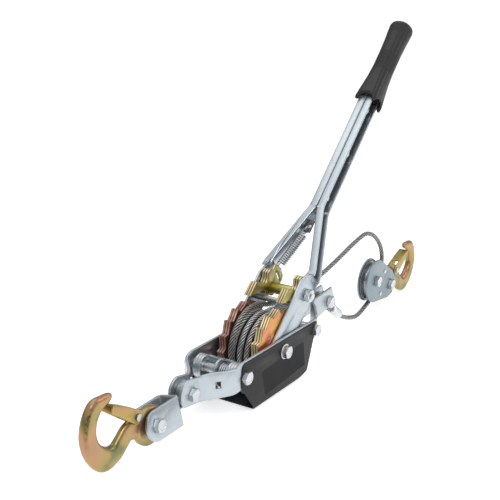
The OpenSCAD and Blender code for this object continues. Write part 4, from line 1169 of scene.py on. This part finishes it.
class WINCH_OT_springs(bpy.types.Operator):
    """Torsion, tension and latch springs"""
    bl_idname = "winch.springs"
    bl_label = "Springs"

    def execute(self, context):
        springs = [("holding", holding_spring_route(), HOLDING_WIRE, CROSS, 12, (0, 1, 0)),
                   ("tension", tension_spring_route(), TENSION_WIRE, HANDLE, 10, (1, 0, 0))]
        for end, hook, size in (("front", FRONT_HOOK, 1), ("rear", REAR_HOOK, REAR_SHARE)):
            seat = hook @ shifted(size * LATCH_AT[0], 0, size * LATCH_AT[1])
            springs.append((end + "_latch", latch_spring_route(), LATCH_WIRE, seat, 8, (0, 1, 0)))
        for name, route, wire, matrix, sides, side in springs:
            piece(name + "_spring_wire", swept(route, wire, sides, side), matrix, "spring",
                  name + "_spring", sharp=60)
        return {"FINISHED"}


class WINCH_OT_chain(bpy.types.Operator):
    """Swivel eye, clevis and the washers at the front hook"""
    bl_idname = "winch.chain"
    bl_label = "Swivel and clevis"

    def execute(self, context):
        solid_piece("swivel_eye", "turned", SWIVEL, edge=0.7, segments=3)
        solid_piece("clevis", "sheet", CHAIN, edge=0.5)
        solid_piece("clevis_washers", "washer", CLEVIS_BOLT, edge=0.3)
        return {"FINISHED"}


class WINCH_OT_hooks(bpy.types.Operator):
    """Both forged hooks with their latches and latch pins"""
    bl_idname = "winch.hooks"
    bl_label = "Hooks"

    def execute(self, context):
        forged_hook("front_hook_forging", FRONT_HOOK, 1.0, ("front_hook",))
        forged_hook("rear_hook_forging", REAR_HOOK, REAR_SHARE, ("rear_hook",))
        for end, matrix in (("front", FRONT_HOOK), ("rear", REAR_HOOK)):
            solids(matrix, (end + "_latch", "latch", 0.25), (end + "_latch_pin", "turned", 0.3))
        return {"FINISHED"}


class WINCH_OT_block(bpy.types.Operator):
    """Snatch block: cheeks, sheave and bush"""
    bl_idname = "winch.block"
    bl_label = "Snatch block"

    def execute(self, context):
        solids(BLOCK, ("block_cheek_near", "cheek"), ("block_cheek_far", "cheek"),
               ("sheave", "dark", 0.3), ("sheave_bush", "sleeve", 0.2))
        return {"FINISHED"}


# the camera's turn, rise and roll in degrees, its lens, and its place in metres
VIEW_TURN, VIEW_RISE, VIEW_ROLL = -58.232, 17.175, 1.503
VIEW_LENS, VIEW_PLACE = 75.543, (-0.9211, -0.5565, 0.4891)
FLOOR_HALF = 20


class WINCH_OT_stage(bpy.types.Operator):
    """Floor, soft light and camera"""
    bl_idname = "winch.stage"
    bl_label = "Stage"

    def execute(self, context):
        scene = context.scene
        settings = scene.winch
        # camera
        a, e, r = radians(VIEW_TURN), radians(VIEW_RISE), radians(VIEW_ROLL)
        ahead = -Vector((sin(a) * cos(e), -cos(a) * cos(e), sin(e)))
        level = Vector((cos(a), sin(a), 0))
        above = level.cross(ahead)
        right = cos(r) * level + sin(r) * above
        up = -sin(r) * level + cos(r) * above
        data = bpy.data.cameras.new("view")
        data.lens, data.sensor_width = VIEW_LENS, 36
        data.clip_start, data.clip_end = 0.05, 60
        scene.camera = linked("view", data)
        turn = Matrix((right, up, -ahead)).transposed().to_4x4()
        scene.camera.matrix_world = Matrix.Translation(VIEW_PLACE) @ turn
        # floor
        f = Finish("studio floor")
        grain = f.noise(3.0, 2.0, 0.5)
        tone = tuple(settings.floor)
        f.done(color=f.mix(grain, tone, toned(tone, 0.985)), rough=0.9, spec=0.2)
        f.shader.inputs["Emission Color"].default_value = (1, 1, 1, 1)
        f.shader.inputs["Emission Strength"].default_value = 0.5
        corners = [(x * FLOOR_HALF, y * FLOOR_HALF, 0)
                   for x, y in ((-1, -1), (1, -1), (1, 1), (-1, 1))]
        floor = raw_object("studio_floor", corners, [(0, 1, 2, 3)])
        floor.data.materials.append(f.material)
        # surroundings and lights
        world = bpy.data.worlds.new("studio")
        world.use_nodes = True
        t = Tree(world.node_tree)
        height = t.component(t.add("ShaderNodeTexCoord", out="Generated"), 2)
        sky = t.add("ShaderNodeValToRGB", {"stops": (
            (0.0, (0.10, 0.105, 0.11)), (0.14, (0.14, 0.15, 0.16)), (0.3, (0.42, 0.43, 0.44)),
            (0.5, (0.95, 0.96, 0.97)), (1.0, (1.0, 1.0, 1.0)))}, {0: height})
        back = world.node_tree.nodes["Background"]
        put(t.tree, back.inputs["Color"], sky)
        put(t.tree, back.inputs["Strength"], 0.72 * settings.lamp)
        scene.world = world
        for name, place, aim, size, power in (
                ("key", (-0.7, -1.3, 1.5), (0.0, 0.0, 0.1), 1.0, 11.0),
                ("top", (0.2, 0.3, 2.0), (0.0, 0.0, 0.0), 1.6, 9.0),
                ("side", (1.5, -1.2, 0.9), (0.1, 0.0, 0.1), 0.9, 6.0)):
            light = bpy.data.lights.new(name, "AREA")
            light.shape, light.size = "SQUARE", size
            light.energy = power * settings.lamp
            aimed = (Vector(aim) - Vector(place)).to_track_quat("-Z", "Y").to_matrix().to_4x4()
            linked(name, light).matrix_world = Matrix.Translation(place) @ aimed
        scene.view_settings.view_transform = "Standard"
        return {"FINISHED"}


OPERATORS = (
    WINCH_OT_stage, WINCH_OT_ropes, WINCH_OT_frame, WINCH_OT_tubes, WINCH_OT_bolts,
    WINCH_OT_drum, WINCH_OT_handle, WINCH_OT_pawls, WINCH_OT_springs, WINCH_OT_chain,
    WINCH_OT_hooks, WINCH_OT_block)


class WINCH_PT_panel(bpy.types.Panel):
    """Settings and pieces of the winch"""
    bl_idname = "WINCH_PT_panel"
    bl_label = "Come along winch"
    bl_space_type = "VIEW_3D"
    bl_region_type = "UI"
    bl_category = "Winch"

    def draw(self, context):
        for name in WinchSettings.__annotations__:
            self.layout.prop(context.scene.winch, name)
        for operator in OPERATORS:
            self.layout.operator(operator.bl_idname)


def register():
    for cls in (WinchSettings, *OPERATORS, WINCH_PT_panel):
        bpy.utils.register_class(cls)
    bpy.types.Scene.winch = bpy.props.PointerProperty(type=WinchSettings)


def unregister():
    del bpy.types.Scene.winch
    for cls in (WINCH_PT_panel, *reversed(OPERATORS), WinchSettings):
        bpy.utils.unregister_class(cls)


def main():
    register()
    for operator in OPERATORS:
        group, name = operator.bl_idname.split(".")
        getattr(getattr(bpy.ops, group), name)()


if __name__ == "__main__":
    main()
